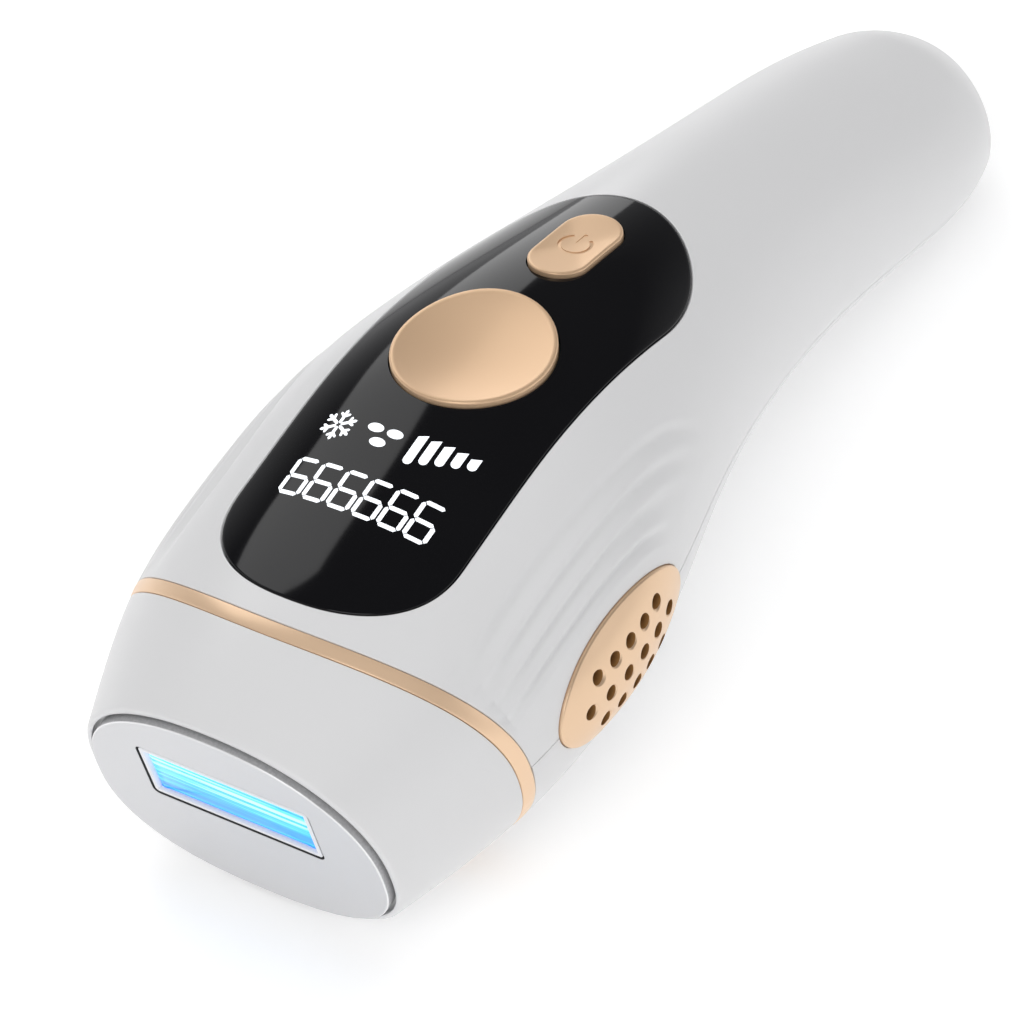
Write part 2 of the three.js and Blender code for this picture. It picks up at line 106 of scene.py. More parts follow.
def line(column, y):
    """One column of the station table at y: the cubic spline with continuous curvature."""
    i = np.clip(np.searchsorted(STATIONS[:, 0], y) - 1, 0, len(STATIONS) - 2)
    step = STATIONS[i + 1, 0] - STATIONS[i, 0]
    t = (y - STATIONS[i, 0]) / step
    return ((2 * t ** 3 - 3 * t ** 2 + 1) * STATIONS[i, column]
            + (t ** 3 - 2 * t ** 2 + t) * step * SLOPES[i, column]
            + (3 * t ** 2 - 2 * t ** 3) * STATIONS[i + 1, column]
            + (t ** 3 - t ** 2) * step * SLOPES[i + 1, column])


def powers(y, top):
    """Superellipse exponent of the top or the belly half at y."""
    share = y / LENGTH
    crown = TOP_POWER[0] + (TOP_POWER[1] - TOP_POWER[0]) * share
    belly = BELLY_POWER[0] + (BELLY_POWER[1] - BELLY_POWER[0]) * share
    return np.where(top, crown, belly)


def section_at(travel, inset=0.0):
    """The y of the section at travel, and the angle by which the tail's round has turned there."""
    bend = np.clip((travel - TAIL_START) / TAIL_ROUND, 0, math.pi / 2)
    return np.where(bend > 0, TAIL_START + (TAIL_ROUND - inset) * np.sin(bend), travel), bend


def skin(travel, angle, inset=0.0):
    """Point of the skin. travel is y up to the tail's round and arc length over it, angle goes
    round the section from +x over the crown, and inset is the depth below the skin. Each section
    is two half superellipses, drawn in by the cosine of the tail's arc as it closes."""
    travel, angle, inset = np.broadcast_arrays(travel, angle, inset)
    y, bend = section_at(travel, inset)
    close = np.cos(bend)
    middle = line(WIDEST, y)
    cosine, sine = np.cos(angle), np.sin(angle)
    power = powers(y, sine >= 0)
    high = np.where(sine >= 0, line(CROWN, y) - middle, middle - line(BELLY, y))
    x = (line(WIDTH, y) - inset) * close * np.sign(cosine) * np.abs(cosine) ** (2 / power)
    z = middle + (high - inset) * close * np.sign(sine) * np.abs(sine) ** (2 / power)
    return np.stack([x, y, z], -1)


def to_frame(points):
    """Millimetres in the device's axes to metres in the shared frame."""
    turned = points[..., :1] * across + points[..., 1:2] * along + points[..., 2:] * upward
    return start + turned / 1000


def build(name, sheets, sharp=32.0):
    """One closed mesh from grids of points in millimetres. Each grid of rows and columns becomes a
    sheet of quads, sheets are welded where they meet, and edges over sharp degrees stay sharp."""
    corners, quads, count = [], [], 0
    for grid in sheets:
        rows, columns = grid.shape[:2]
        index = count + np.arange(rows * columns).reshape(rows, columns)
        quads.append(np.stack([index[:-1, :-1], index[:-1, 1:], index[1:, 1:], index[1:, :-1]], -1)
                     .reshape(-1, 4))
        corners.append(to_frame(grid.reshape(-1, 3)))
        count += rows * columns
    mesh = bpy.data.meshes.new(name)
    mesh.from_pydata(np.concatenate(corners).tolist(), [], np.concatenate(quads).tolist())
    piece = bpy.data.objects.new(name, mesh)
    bpy.context.scene.collection.objects.link(piece)
    weld(mesh, sharp)
    return piece


DOUBLES, SLIVERS = 3e-6, 1e-7  # metres


def weld(mesh, sharp=32.0):
    """Merges doubles, turns the normals outwards and shades the mesh smooth between sharp edges."""
    shape = bmesh.new()
    shape.from_mesh(mesh)
    bmesh.ops.remove_doubles(shape, verts=shape.verts, dist=DOUBLES)
    bmesh.ops.dissolve_degenerate(shape, edges=shape.edges, dist=SLIVERS)
    bmesh.ops.recalc_face_normals(shape, faces=shape.faces)
    shape.to_mesh(mesh)
    shape.free()
    mesh.shade_smooth()
    mesh.set_sharp_from_angle(angle=math.radians(sharp))


def round_edge(radius, steps=4):
    """Quarter circle from a face to the wall below it: distance from the wall, then depth."""
    turn = np.linspace(0, math.pi / 2, steps + 1)
    return np.stack([radius * (1 - np.sin(turn)), radius * (1 - np.cos(turn))], -1)


def place(piece, node, body, material):
    """Gives a finished piece its material, puts it on its body and hides the CAD node it stands for."""
    piece.data.materials.clear()
    piece.data.materials.append(material)
    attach(piece, body)
    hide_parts(node)


def grain_group():
    """Group fine_grain, for moulded, blasted and coated surfaces. In Object coordinates, broad noise
    mixes two tones, and fine noise moves the roughness round its middle value and makes the bump."""
    group = bpy.data.node_groups.new("fine_grain", "ShaderNodeTree")
    for name, kind, value in (("Tone", "NodeSocketColor", (0.8, 0.8, 0.8, 1)),
                              ("Second tone", "NodeSocketColor", (0.78, 0.78, 0.78, 1)),
                              ("Patch size", "NodeSocketFloat", 60.0),
                              ("Grain size", "NodeSocketFloat", 2500.0),
                              ("Roughness", "NodeSocketFloat", 0.3),
                              ("Roughness spread", "NodeSocketFloat", 0.05),
                              ("Bump", "NodeSocketFloat", 0.02)):
        group.interface.new_socket(name, in_out="INPUT", socket_type=kind).default_value = value
    for name, kind in (("Color", "NodeSocketColor"), ("Roughness", "NodeSocketFloat"),
                       ("Normal", "NodeSocketVector")):
        group.interface.new_socket(name, in_out="OUTPUT", socket_type=kind)
    add, link = group.nodes.new, group.links.new
    inputs, outputs = add("NodeGroupInput"), add("NodeGroupOutput")
    where = add("ShaderNodeTexCoord")
    patches, grain = add("ShaderNodeTexNoise"), add("ShaderNodeTexNoise")
    tones, spread, bump = add("ShaderNodeMix"), add("ShaderNodeMath"), add("ShaderNodeBump")
    centred = add("ShaderNodeMath")
    tones.data_type = "RGBA"
    centred.operation, centred.inputs[1].default_value = "SUBTRACT", 0.5
    spread.operation = "MULTIPLY_ADD"
    bump.inputs["Distance"].default_value = 0.0001
    grain.inputs["Detail"].default_value = 3.0
    for texture, size in ((patches, "Patch size"), (grain, "Grain size")):
        link(where.outputs["Object"], texture.inputs["Vector"])
        link(inputs.outputs[size], texture.inputs["Scale"])
    link(patches.outputs["Fac"], tones.inputs["Factor"])
    link(inputs.outputs["Tone"], tones.inputs["A"])
    link(inputs.outputs["Second tone"], tones.inputs["B"])
    link(grain.outputs["Fac"], centred.inputs[0])
    link(centred.outputs[0], spread.inputs[0])
    link(inputs.outputs["Roughness spread"], spread.inputs[1])
    link(inputs.outputs["Roughness"], spread.inputs[2])
    link(grain.outputs["Fac"], bump.inputs["Height"])
    link(inputs.outputs["Bump"], bump.inputs["Strength"])
    link(tones.outputs["Result"], outputs.inputs["Color"])
    link(spread.outputs[0], outputs.inputs["Roughness"])
    link(bump.outputs["Normal"], outputs.inputs["Normal"])
    return group


fine_grain = grain_group()


def finish(name, tone, second, grain=None, **sockets):
    """A Principled material whose colour, roughness and normal come from the fine grain group.
    grain gives the group's own sizes, and sockets the shader's constant ones."""
    material = bpy.data.materials.new(name)
    material.use_nodes = True
    shader = material.node_tree.nodes["Principled BSDF"]
    surface = material.node_tree.nodes.new("ShaderNodeGroup")
    surface.node_tree = fine_grain
    surface.inputs["Tone"].default_value = (*tone, 1)
    surface.inputs["Second tone"].default_value = (*second, 1)
    for socket, value in (grain or {}).items():
        surface.inputs[socket].default_value = value
    for socket, value in sockets.items():
        shader.inputs[socket.replace("_", " ")].default_value = value
    for output, socket in (("Color", "Base Color"), ("Roughness", "Roughness"), ("Normal", "Normal")):
        material.node_tree.links.new(surface.outputs[output], shader.inputs[socket])
    return material


RIM_Y, POCKET, FLANGE = 0.5, 0.9, 6.0
RIM_INSIDE, RIM_OUTSIDE, REAR_EDGE = 0.22, 0.5, 0.12  # radii of the rounded edges
BULKHEAD_FRONT, BULKHEAD_BACK = 1.8, 3.8
RING_Y, RING_BOW, RING_WIDTH, RING_GAP = 17.4, 0.0052, 2.2, 0.13
RING_FRONT, RING_BACK = RING_Y - RING_WIDTH / 2, RING_Y + RING_WIDTH / 2

white_gloss = finish("white_gloss_moulding", (0.77, 0.77, 0.775), (0.755, 0.755, 0.76),
                     {"Roughness": 0.34, "Roughness spread": 0.05, "Bump": 0.03, "Patch size": 25.0},
                     Coat_Weight=0.25, Coat_Roughness=0.18, IOR=1.49)


def ring_travel(angle, plane, inset=0.0):
    """Travel at which the skin meets the bowed plane y = plane + bow times x squared, found in a
    few steps."""
    travel = np.full_like(np.asarray(angle, float), plane)
    for _ in range(8):
        travel = plane + RING_BOW * skin(travel, angle, inset)[..., 0] ** 2
    return travel


hoop_angle = np.linspace(0, 2 * math.pi, 301)


def hoop(rows):
    """Closed sheet round the body. Each row is (travel, inset), where the travel may be an array."""
    return np.stack([skin(travel, hoop_angle, inset) for travel, inset in [*rows, rows[0]]])


def head_rows():
    """Profile of the head shell: pocket wall, rounded rim, outside, rear edge, inside, flange."""
    rear = ring_travel(hoop_angle, RING_FRONT - RING_GAP)
    rows = [(BULKHEAD_FRONT, FLANGE), (BULKHEAD_FRONT, POCKET)]
    rows += [(RIM_Y + deep, POCKET - away) for away, deep in round_edge(RIM_INSIDE)[::-1]]
    rows += [(RIM_Y + deep, away) for away, deep in round_edge(RIM_OUTSIDE, 6)]
    outside, behind = RIM_Y + RIM_OUTSIDE, rear - REAR_EDGE
    rows += [(outside + (behind - outside) * t, 0.0) for t in np.linspace(0.05, 1, 34)]
    rows += [(rear - away, deep) for away, deep in round_edge(REAR_EDGE, 3)[1:]]
    rows += [(rear, WALL), (0.5 * (rear + BULKHEAD_BACK), WALL), (BULKHEAD_BACK, WALL)]
    return rows + [(BULKHEAD_BACK, FLANGE)]


head_shell = build("head_shell_moulding", [hoop(head_rows())])
place(head_shell, "head_shell", "housing", white_gloss)


# ---- Trim ring --------------------------------------------------------------------------------
# A plated hoop between the head and the body, flush with the skin. A collar inside it reaches
# under both shells. Only its 2.2 mm band shows, with a fine dark gap on each side.
COLLAR, COLLAR_DEPTH, HOOP_DEPTH = 3.4, WALL + 0.3, WALL + 1.5
RING_EDGE, RING_CROWN = 0.14, 0.06

champagne = finish("champagne_plating", (0.96, 0.69, 0.47), (0.92, 0.65, 0.43),
                   {"Roughness": 0.30, "Roughness spread": 0.02, "Bump": 0.0, "Patch size": 30.0},
                   Metallic=0.4)


def ring_rows():
    """Profile of the trim ring: rounded front edge, crowned band, rounded rear edge, collar."""
    front, rear = ring_travel(hoop_angle, RING_FRONT), ring_travel(hoop_angle, RING_BACK)
    rows = [(front + away, deep) for away, deep in round_edge(RING_EDGE, 3)[::-1]]
    rows += [(front + RING_EDGE + (rear - front - 2 * RING_EDGE) * t, -4 * RING_CROWN * t * (1 - t))
             for t in np.linspace(0.1, 0.9, 9)]
    rows += [(rear - away, deep) for away, deep in round_edge(RING_EDGE, 3)]
    rows += [(rear, COLLAR_DEPTH), (rear + COLLAR, COLLAR_DEPTH), (rear + COLLAR, HOOP_DEPTH)]
    rows += [(front - COLLAR, HOOP_DEPTH), (front - COLLAR, COLLAR_DEPTH), (front, COLLAR_DEPTH)]
    return rows


trim_ring = build("trim_ring_hoop", [hoop(ring_rows())])
place(trim_ring, "trim_ring", "housing", champagne)

# ---- Contact plate ----------------------------------------------------------------------------
# The flat cooled plate that touches the skin: satin aluminium, blanked to the head's outline with
# a machined edge, and a window for the light. It stands 1 mm proud of the rim round it. The edge's
# side is toned darker than the plate: painted shade of the pocket round it.
PLATE_FRONT, PLATE_BACK, PLATE_INSET = -0.5, 1.5, 1.2
PLATE_EDGE, WINDOW_EDGE = 0.3, 0.18  # radii of the rounded edges
WINDOW_Z, WINDOW_WIDTH, WINDOW_HEIGHT, WINDOW_CORNER = 5.0, 29.0, 11.2, 1.0

satin_plate = finish("satin_aluminium", (0.70, 0.70, 0.71), (0.66, 0.66, 0.67),
                     {"Roughness": 0.42, "Roughness spread": 0.12, "Bump": 0.10,
                      "Patch size": 30.0, "Grain size": 5000.0}, Metallic=0.75)
# The plate's side wall: rough sawn grain, toned darker than the plate as painted shade of the pocket.
sawn_edge_and_shade = finish("sawn_plate_edge_and_painted_shade", (0.62, 0.62, 0.63), (0.36, 0.36, 0.37),
                   {"Roughness": 0.6, "Roughness spread": 0.2, "Bump": 0.5, "Patch size": 2600.0,
                    "Grain size": 3500.0}, Metallic=0.5)
# The plate's front chamfer: polished, and toned near white as a painted highlight line along the edge.
chamfer_highlight = finish("chamfer_painted_highlight", (0.95, 0.95, 0.96), (0.92, 0.92, 0.93),
                    {"Roughness": 0.22, "Roughness spread": 0.03, "Bump": 0.0}, Metallic=0.3)
# Near-black walls of the plate's window opening: painted shade in the recess.
window_wall_shade = finish("window_wall_painted_shade", (0.05, 0.05, 0.052), (0.035, 0.035, 0.037),
                  {"Roughness": 0.5, "Bump": 0.05}, Metallic=0.3)


def window_loop(grow, y, per_edge=24, per_corner=8):
    """Closed outline of the light window, grown all round, at depth y: straight sides and round
    corners, as a row of points."""
    points = []
    for quarter in range(4):
        turn = (quarter + np.linspace(0, 1, per_corner + 1)) * math.pi / 2
        corner = np.sign([math.cos(turn[per_corner // 2]), math.sin(turn[per_corner // 2])])
        centre = corner * (WINDOW_WIDTH / 2 - WINDOW_CORNER, WINDOW_HEIGHT / 2 - WINDOW_CORNER)
        radius = WINDOW_CORNER + grow
        points.append(centre + radius * np.stack([np.cos(turn), np.sin(turn)], -1))
    loop = []
    for arc, following in zip(points, points[1:] + points[:1]):
        edge = np.linspace(0, 1, per_edge + 1)[1:-1, None]
        loop += [arc, arc[-1] + (following[0] - arc[-1]) * edge]
    loop = np.concatenate(loop + [points[0][:1]])
    return np.stack([loop[:, 0], np.full(len(loop), y), loop[:, 1] + WINDOW_Z], -1)


def plate_loop(inset, y):
    """The plate's outline pulled in by inset, met by rays from the window's middle through the
    points of the window's own outline."""
    angle = np.linspace(0, 2 * math.pi, 1441)[:-1]
    outline = skin(np.zeros_like(angle), angle, inset) - (0, 0, WINDOW_Z)
    window = window_loop(0, y) - (0, 0, WINDOW_Z)
    bearing = np.arctan2(window[:, 2], window[:, 0])
    reach = np.interp(bearing, np.arctan2(outline[:, 2], outline[:, 0]),
                      np.hypot(outline[:, 0], outline[:, 2]), period=2 * math.pi)
    return np.stack([reach * np.cos(bearing), np.full_like(reach, y),
                     reach * np.sin(bearing) + WINDOW_Z], -1)


def second_finish(piece, material, chosen):
    """Gives the faces for which chosen(normals, middles) holds a second material. Both arrays are
    in the device's axes, the middles in millimetres."""
    mesh = piece.data
    normals, middles = np.empty(len(mesh.polygons) * 3), np.empty(len(mesh.polygons) * 3)
    mesh.polygons.foreach_get("normal", normals)
    mesh.polygons.foreach_get("center", middles)
    axes = np.stack([across, along, upward], -1)
    index = np.empty(len(mesh.polygons), np.int32)
    mesh.polygons.foreach_get("material_index", index)
    picked = chosen(normals.reshape(-1, 3) @ axes, (middles.reshape(-1, 3) - start) @ axes * 1000)
    index[picked] = len(mesh.materials)
    mesh.materials.append(material)
    mesh.polygons.foreach_set("material_index", index)


def by_window(middles):
    """True for faces round the light window, rather than round the plate's outline."""
    margin = 1.5
    return ((np.abs(middles[:, 0]) < WINDOW_WIDTH / 2 + margin)
            & (np.abs(middles[:, 2] - WINDOW_Z) < WINDOW_HEIGHT / 2 + margin))


face_edge = plate_loop(PLATE_INSET + PLATE_EDGE, PLATE_FRONT)
face_window = window_loop(WINDOW_EDGE, PLATE_FRONT)
plate_rows = [window_loop(0, PLATE_BACK)]
plate_rows += [window_loop(away, PLATE_FRONT + deep) for away, deep in round_edge(WINDOW_EDGE, 3)[::-1]]
plate_rows += [face_window + (face_edge - face_window) * t for t in np.linspace(0, 1, 14)[1:-1]]
plate_rows += [plate_loop(PLATE_INSET + away, PLATE_FRONT + deep) for away, deep in round_edge(PLATE_EDGE)]
plate_rows += [plate_loop(PLATE_INSET, PLATE_BACK), window_loop(0, PLATE_BACK)]
contact_plate = build("contact_plate_blank", [np.stack(plate_rows)])
place(contact_plate, "contact_plate", "housing", satin_plate)
# Side wall outside the window: its darker tone is painted shade of the pocket.
second_finish(contact_plate, sawn_edge_and_shade, lambda normals, middles:
              (np.abs(normals[:, 1]) < 0.3) & ~by_window(middles))
# Walls round the window: near black as painted shade.
second_finish(contact_plate, window_wall_shade, lambda normals, middles:
              (np.abs(normals[:, 1]) < 0.5) & by_window(middles))
# Front chamfer outside the window: its near-white tone is a painted highlight.
second_finish(contact_plate, chamfer_highlight, lambda normals, middles:
              (np.abs(normals[:, 1]) >= 0.3) & (np.abs(normals[:, 1]) < 0.97) & ~by_window(middles))

# ---- Window frame and glass -------------------------------------------------------------------
# A white moulded frame with a sloping inner bevel stands in the plate's window. The filter glass
# is a polished stepped block that glows as the lamp flashes behind it, seated from behind.
# The frame's section: the distance outside the window's outline, negative inside it, and y.
FRAME_PROFILE = [(-0.3, 2.2), (-0.3, -0.2), (-0.35, -0.3), (-0.45, -0.35), (-0.98, -0.35),
                 (-1.06, -0.3), (-1.28, 0.1), (-1.32, 0.3), (-1.32, 2.4), (-0.2, 2.4), (-0.2, 5.0),
                 (2.0, 5.0), (2.0, 2.2), (-0.3, 2.2)]
GLASS_GROW, GLASS_NOSE, GLASS_FRONT, GLASS_STEP, GLASS_BACK = -0.45, -1.36, 0.1, 2.7, 4.7
GLASS_CHAMFER = 0.15

LIT_SHADES = ((0.0, 0.16, 0.72), (0.01, 0.42, 0.90), (0.10, 0.74, 0.92), (0.66, 0.95, 0.98))
FALL_FROM_TO = (-4.6, 2.0)  # heights between which the light falls off, from the window's middle
FALL_BY, NOISE_SPAN = (-0.30, 0.02), (0.26, 0.62)  # the noise's change there, and its span in shades

frame_white = finish("window_frame_white", (0.86, 0.87, 0.90), (0.83, 0.84, 0.88),
                     {"Roughness": 0.25, "Bump": 0.02}, IOR=1.49)
window_frame = build("window_frame_moulding",
                     [np.stack([window_loop(grow, y) for grow, y in FRAME_PROFILE])])
place(window_frame, "window_frame", "housing", frame_white)


def glow(name, shades, strength, streak, **sockets):
    """Material of a lit surface. Noise drawn out along x runs through the shades, low to high, and
    falls off towards the lower edge of the window."""
    material = finish(name, shades[0], shades[1], {"Roughness": 0.08, "Bump": 0.0},
                      Emission_Strength=strength, **sockets)
    add, link = material.node_tree.nodes.new, material.node_tree.links.new
    where, stretch = add("ShaderNodeTexCoord"), add("ShaderNodeMapping")
    streaks, colours = add("ShaderNodeTexNoise"), add("ShaderNodeValToRGB")
    split, fall, level_of = add("ShaderNodeSeparateXYZ"), add("ShaderNodeMapRange"), add("ShaderNodeMath")
    stretch.inputs["Scale"].default_value = (streak / 60, streak / 3, streak)
    streaks.inputs["Scale"].default_value, streaks.inputs["Detail"].default_value = 1.0, 3.0
    low, high = (to_frame(np.array([0, 0, WINDOW_Z + up]))[2] for up in FALL_FROM_TO)
    fall.inputs["From Min"].default_value, fall.inputs["From Max"].default_value = low, high
    fall.inputs["To Min"].default_value, fall.inputs["To Max"].default_value = FALL_BY
    level_of.operation = "ADD"
    positions = np.linspace(*NOISE_SPAN, len(shades))
    for _ in shades[2:]:
        colours.color_ramp.elements.new(0.5)
    for element, position, shade in zip(colours.color_ramp.elements, positions, shades):
        element.position, element.color = position, (*shade, 1)
    link(where.outputs["Object"], stretch.inputs["Vector"])
    link(where.outputs["Object"], split.inputs["Vector"])
    link(split.outputs["Z"], fall.inputs["Value"])
    link(stretch.outputs["Vector"], streaks.inputs["Vector"])
    link(streaks.outputs["Fac"], level_of.inputs[0])
    link(fall.outputs["Result"], level_of.inputs[1])
    link(level_of.outputs[0], colours.inputs["Fac"])
    link(colours.outputs["Color"],
         material.node_tree.nodes["Principled BSDF"].inputs["Emission Color"])
    return material


window_middle = np.array([0.0, 0.0, WINDOW_Z])


def slab_row(share, grow, y):
    """The window's outline drawn in towards its middle by share, at depth y."""
    loop = window_loop(grow, 0)
    return window_middle + (loop - window_middle) * share + (0, y, 0)


glass_rows = [slab_row(share, GLASS_NOSE, GLASS_FRONT) for share in (0, 0.5, 0.97)]
glass_rows += [slab_row(1, GLASS_NOSE, GLASS_FRONT + GLASS_CHAMFER), slab_row(1, GLASS_NOSE, GLASS_STEP)]
glass_rows += [slab_row(1, GLASS_GROW, GLASS_STEP), slab_row(1, GLASS_GROW, GLASS_BACK - GLASS_CHAMFER)]
glass_rows += [slab_row(share, GLASS_GROW, GLASS_BACK) for share in (0.97, 0.5, 0)]
window_glass = build("window_glass_slab", [np.stack(glass_rows)])
place(window_glass, "window_glass", "housing",
      glow("lit_filter_glass", LIT_SHADES, 0.9, 1500.0, IOR=1.46, Coat_Weight=0.5, Coat_Roughness=0.03))

# ---- Flash lamp and reflector -----------------------------------------------------------------
# Behind the glass lies a xenon tube in a polished trough. While the lamp glows, its light lies in
# streaks along the trough, pale at the tube and deeper blue towards the lower edge.
LAMP_Y, LAMP_R, LAMP_HALF, LAMP_SHOULDER = 10.5, 2.0, 18.0, 0.3
TROUGH_MOUTH, TROUGH_APEX, TROUGH_HALF, TROUGH_END, TROUGH_SHEET = 5.3, 14.0, 4.7, 13.0, 0.5


def trough(sheet):
    """Parabola of the reflector, moved out by sheet: y falls from the apex with z squared."""
    share = np.linspace(-1, 1, 41)
    half = TROUGH_HALF + sheet
    return np.stack([TROUGH_APEX + sheet - (TROUGH_APEX + sheet - TROUGH_MOUTH) * share ** 2,
                     WINDOW_Z + half * share], -1)


trough_section = np.concatenate([trough(0), trough(TROUGH_SHEET)[::-1], trough(0)[:1]])
trough_walls = np.stack([np.insert(trough_section, 0, x, axis=1) for x in (-TROUGH_END, TROUGH_END)])
trough_ends = [np.stack([np.insert(edge, 0, x, axis=1) for edge in (trough(0), trough(TROUGH_SHEET))])
               for x in (-TROUGH_END, TROUGH_END)]
lamp_reflector = build("lamp_reflector_trough", [trough_walls, *trough_ends])
place(lamp_reflector, "lamp_reflector", "housing",
      glow("lit_reflector", LIT_SHADES, 0.8, 700.0))


def lathe(profile, centre, axis, segments=48):
    """Sheet of a profile of (radius, height) pairs turned round axis, with height 0 at centre."""
    profile = np.asarray(profile, float)
    axis = np.asarray(axis, float)
    first = np.cross(axis, across if abs(axis[0]) < 0.9 else (0.0, 1.0, 0.0))
    first /= np.linalg.norm(first)
    second = np.cross(axis, first)
    turn = np.linspace(0, 2 * math.pi, segments + 1)[None, :, None]
    radius, height = profile[:, :1, None], profile[:, 1:, None]
    return centre + height * axis + radius * (np.cos(turn) * first + np.sin(turn) * second)


lamp_end = [(0, LAMP_HALF), (LAMP_R - LAMP_SHOULDER, LAMP_HALF), (LAMP_R, LAMP_HALF - LAMP_SHOULDER)]
lamp_profile = [(radius, -reach) for radius, reach in lamp_end] + lamp_end[::-1]
flash_lamp = build("flash_lamp_tube", [lathe(lamp_profile, np.array([0, LAMP_Y, WINDOW_Z]), across)])
place(flash_lamp, "flash_lamp", "housing",
      glow("lit_tube", ((0.62, 0.95, 1.0), (1.0, 1.0, 1.0)), 1.2, 500.0))

# ---- Upper shell ------------------------------------------------------------------------------
# The white moulding from the trim ring to the tail tip, above the side seam. It has the display
# opening, half of each vent opening and the socket's hole. Shallow steps run round each vent.
SEAM_GAP, VENT_GAP, PANEL_GAP = 0.06, 0.10, 0.10  # each shell's share of the fine dark lines
EDGE = 0.14
PANEL_FRONT, PANEL_REAR, PANEL_HALF, PANEL_ENDS = 22.4, 112.1, 18.5, (15.5, 22.0)
VENT_Y, VENT_Z, VENT_LONG, VENT_HIGH, VENT_TILT = 46.9, -2.7, 16.7, 8.9, -0.138
HANDLE_Y = 118.0  # the finer head part and the plain handle part meet here
STEPS = ((47.0, 20.5), (42.6, 17.8), (37.8, 15.5), (31.2, 13.3), (27.0, 11.2))  # half long, half high
STEP_Y, STEP_Z, STEP_POWER, STEP_DEPTH, STEP_DROP = 38.0, -3.0, 2.4, 0.7, 0.4
# Each fade runs from where the steps are gone to where they are full: y behind the ring, and z up
# the rear of the side. FADE_REAR is the stretch of y over which that z fade moves one span down.
FADE_RING, FADE_UP, FADE_REAR = (20, 36), (2, 10), (66, 54)
INLET_Y, INLET_Z, INLET_R = 190.2, -47.0, 4.6
PANEL_POWER = 2.3


def panel_outline(u, grow=0.0):
    """Right half of the display opening as travel and angle, grown all round. u runs from the
    front end (0) along the superellipse end (1) and the straight side (2) to the rear end (3)."""
    half = PANEL_HALF + grow
    front, rear = PANEL_FRONT + PANEL_ENDS[0], PANEL_REAR - PANEL_ENDS[1]
    head, tail = np.clip(u, 0, 1) * math.pi / 2, np.clip(u - 2, 0, 1) * math.pi / 2
    x = half * np.sin(head) ** (2 / PANEL_POWER) * np.cos(tail)
    y = (front - (PANEL_ENDS[0] + grow) * np.abs(np.cos(head)) ** (2 / PANEL_POWER)
         + (rear - front) * np.clip(u - 1, 0, 1) + (PANEL_ENDS[1] + grow) * np.sin(tail))
    x = np.where((u <= 0) | (u >= 3), 0.0, x)
    return y, plan_angle(x, y)


def plan_angle(x, y):
    """Angle round the section at y of the skin's point over (x, y)."""
    return np.arccos(np.clip(np.abs(x) / line(WIDTH, y), 0, 1) ** (powers(y, True) / 2))


def side_angle(travel, z):
    """Angle on the +x side at which the section at travel has height z. Where the section no longer
    reaches z, it is straight up or straight down."""
    y, bend = section_at(travel)
    rise = z - line(WIDEST, y)
    high = np.where(rise >= 0, line(CROWN, y) - line(WIDEST, y), line(WIDEST, y) - line(BELLY, y))
    share = np.clip(np.abs(rise) / np.maximum(high * np.cos(bend), 1e-6), 0, 1)
    return np.sign(rise) * np.arcsin(share ** (powers(y, rise >= 0) / 2))


def seam_angle(travel, lift):
    """Angle of the line that runs lift above the seam."""
    return side_angle(travel, line(SEAM, section_at(travel)[0]) + lift)


def turn_point(lift):
    """Travel at which that line reaches the middle of the belly, under the tail."""
    travel = np.linspace(TAIL_START, TIP - 0.01, 4000)
    y, bend = section_at(travel)
    high = (line(WIDEST, y) - line(BELLY, y)) * np.cos(bend)
    return np.interp(1.0, (line(WIDEST, y) - line(SEAM, y) - lift) / high, travel)


def vent_curve(turn, grow=0.0):
    """Side view (y, z) of the tilted ellipse of a vent, grown all round."""
    long, high = (VENT_LONG + grow) * np.cos(turn), (VENT_HIGH + grow) * np.sin(turn)
    cosine, sine = math.cos(VENT_TILT), math.sin(VENT_TILT)
    return VENT_Y + long * cosine - high * sine, VENT_Z + long * sine + high * cosine


def vent_crossings(lift, grow):
    """Turns of the vent's ellipse at which it crosses the line lift above the seam, front then rear."""
    crossings = []
    for middle in (math.pi, 0):
        turn = np.linspace(middle - math.pi / 2, middle + math.pi / 2, 2001)
        y, z = vent_curve(turn, grow)
        over = z - line(SEAM, y) - lift
        crossings.append(np.interp(0, over if over[-1] > 0 else -over, turn))
    return crossings


RING_COLUMNS, ENTRY_COLUMNS, VENT_COLUMNS, SEAM_COLUMNS, ARC_COLUMNS = 41, 17, 97, 81, 41


def joined(*parts):
    """Runs of numbers end to end, without the number that two neighbours share."""
    return np.concatenate([parts[0]] + [part[1:] for part in parts[1:]])


def shell_border(sign, away):
    """Border of the upper (+1) or lower (-1) shell's right half as travel and angle, from the ring
    along the seam and round the vent to HANDLE_Y. away is the distance from the shell's own wall."""
    lift, grow = sign * (SEAM_GAP + away), VENT_GAP + away
    corner, plane = RING_BACK, RING_BACK + RING_GAP + away
    for _ in range(8):
        corner = ring_travel(seam_angle(np.array([corner]), lift), plane)[0]
    entry, leave = vent_crossings(lift, grow)
    turn = np.linspace(entry, leave if sign > 0 else leave + 2 * math.pi, VENT_COLUMNS)
    vent_y, vent_z = vent_curve(turn, grow)
    seam = joined(np.linspace(corner, vent_y[0], ENTRY_COLUMNS), vent_y,
                  np.linspace(vent_y[-1], HANDLE_Y, SEAM_COLUMNS))
    angle = seam_angle(seam, lift)
    angle[ENTRY_COLUMNS - 1:ENTRY_COLUMNS - 1 + VENT_COLUMNS] = side_angle(vent_y, vent_z)
    if sign > 0:
        ahead = np.linspace(math.pi / 2, angle[0], RING_COLUMNS)
        seam, angle = joined(ring_travel(ahead, plane), seam), joined(ahead, angle)
    return seam, angle


def ease(share):
    """The smooth step: level at 0 and at 1, and steepest halfway."""
    share = np.clip(share, 0, 1)
    return share * share * (3 - 2 * share)


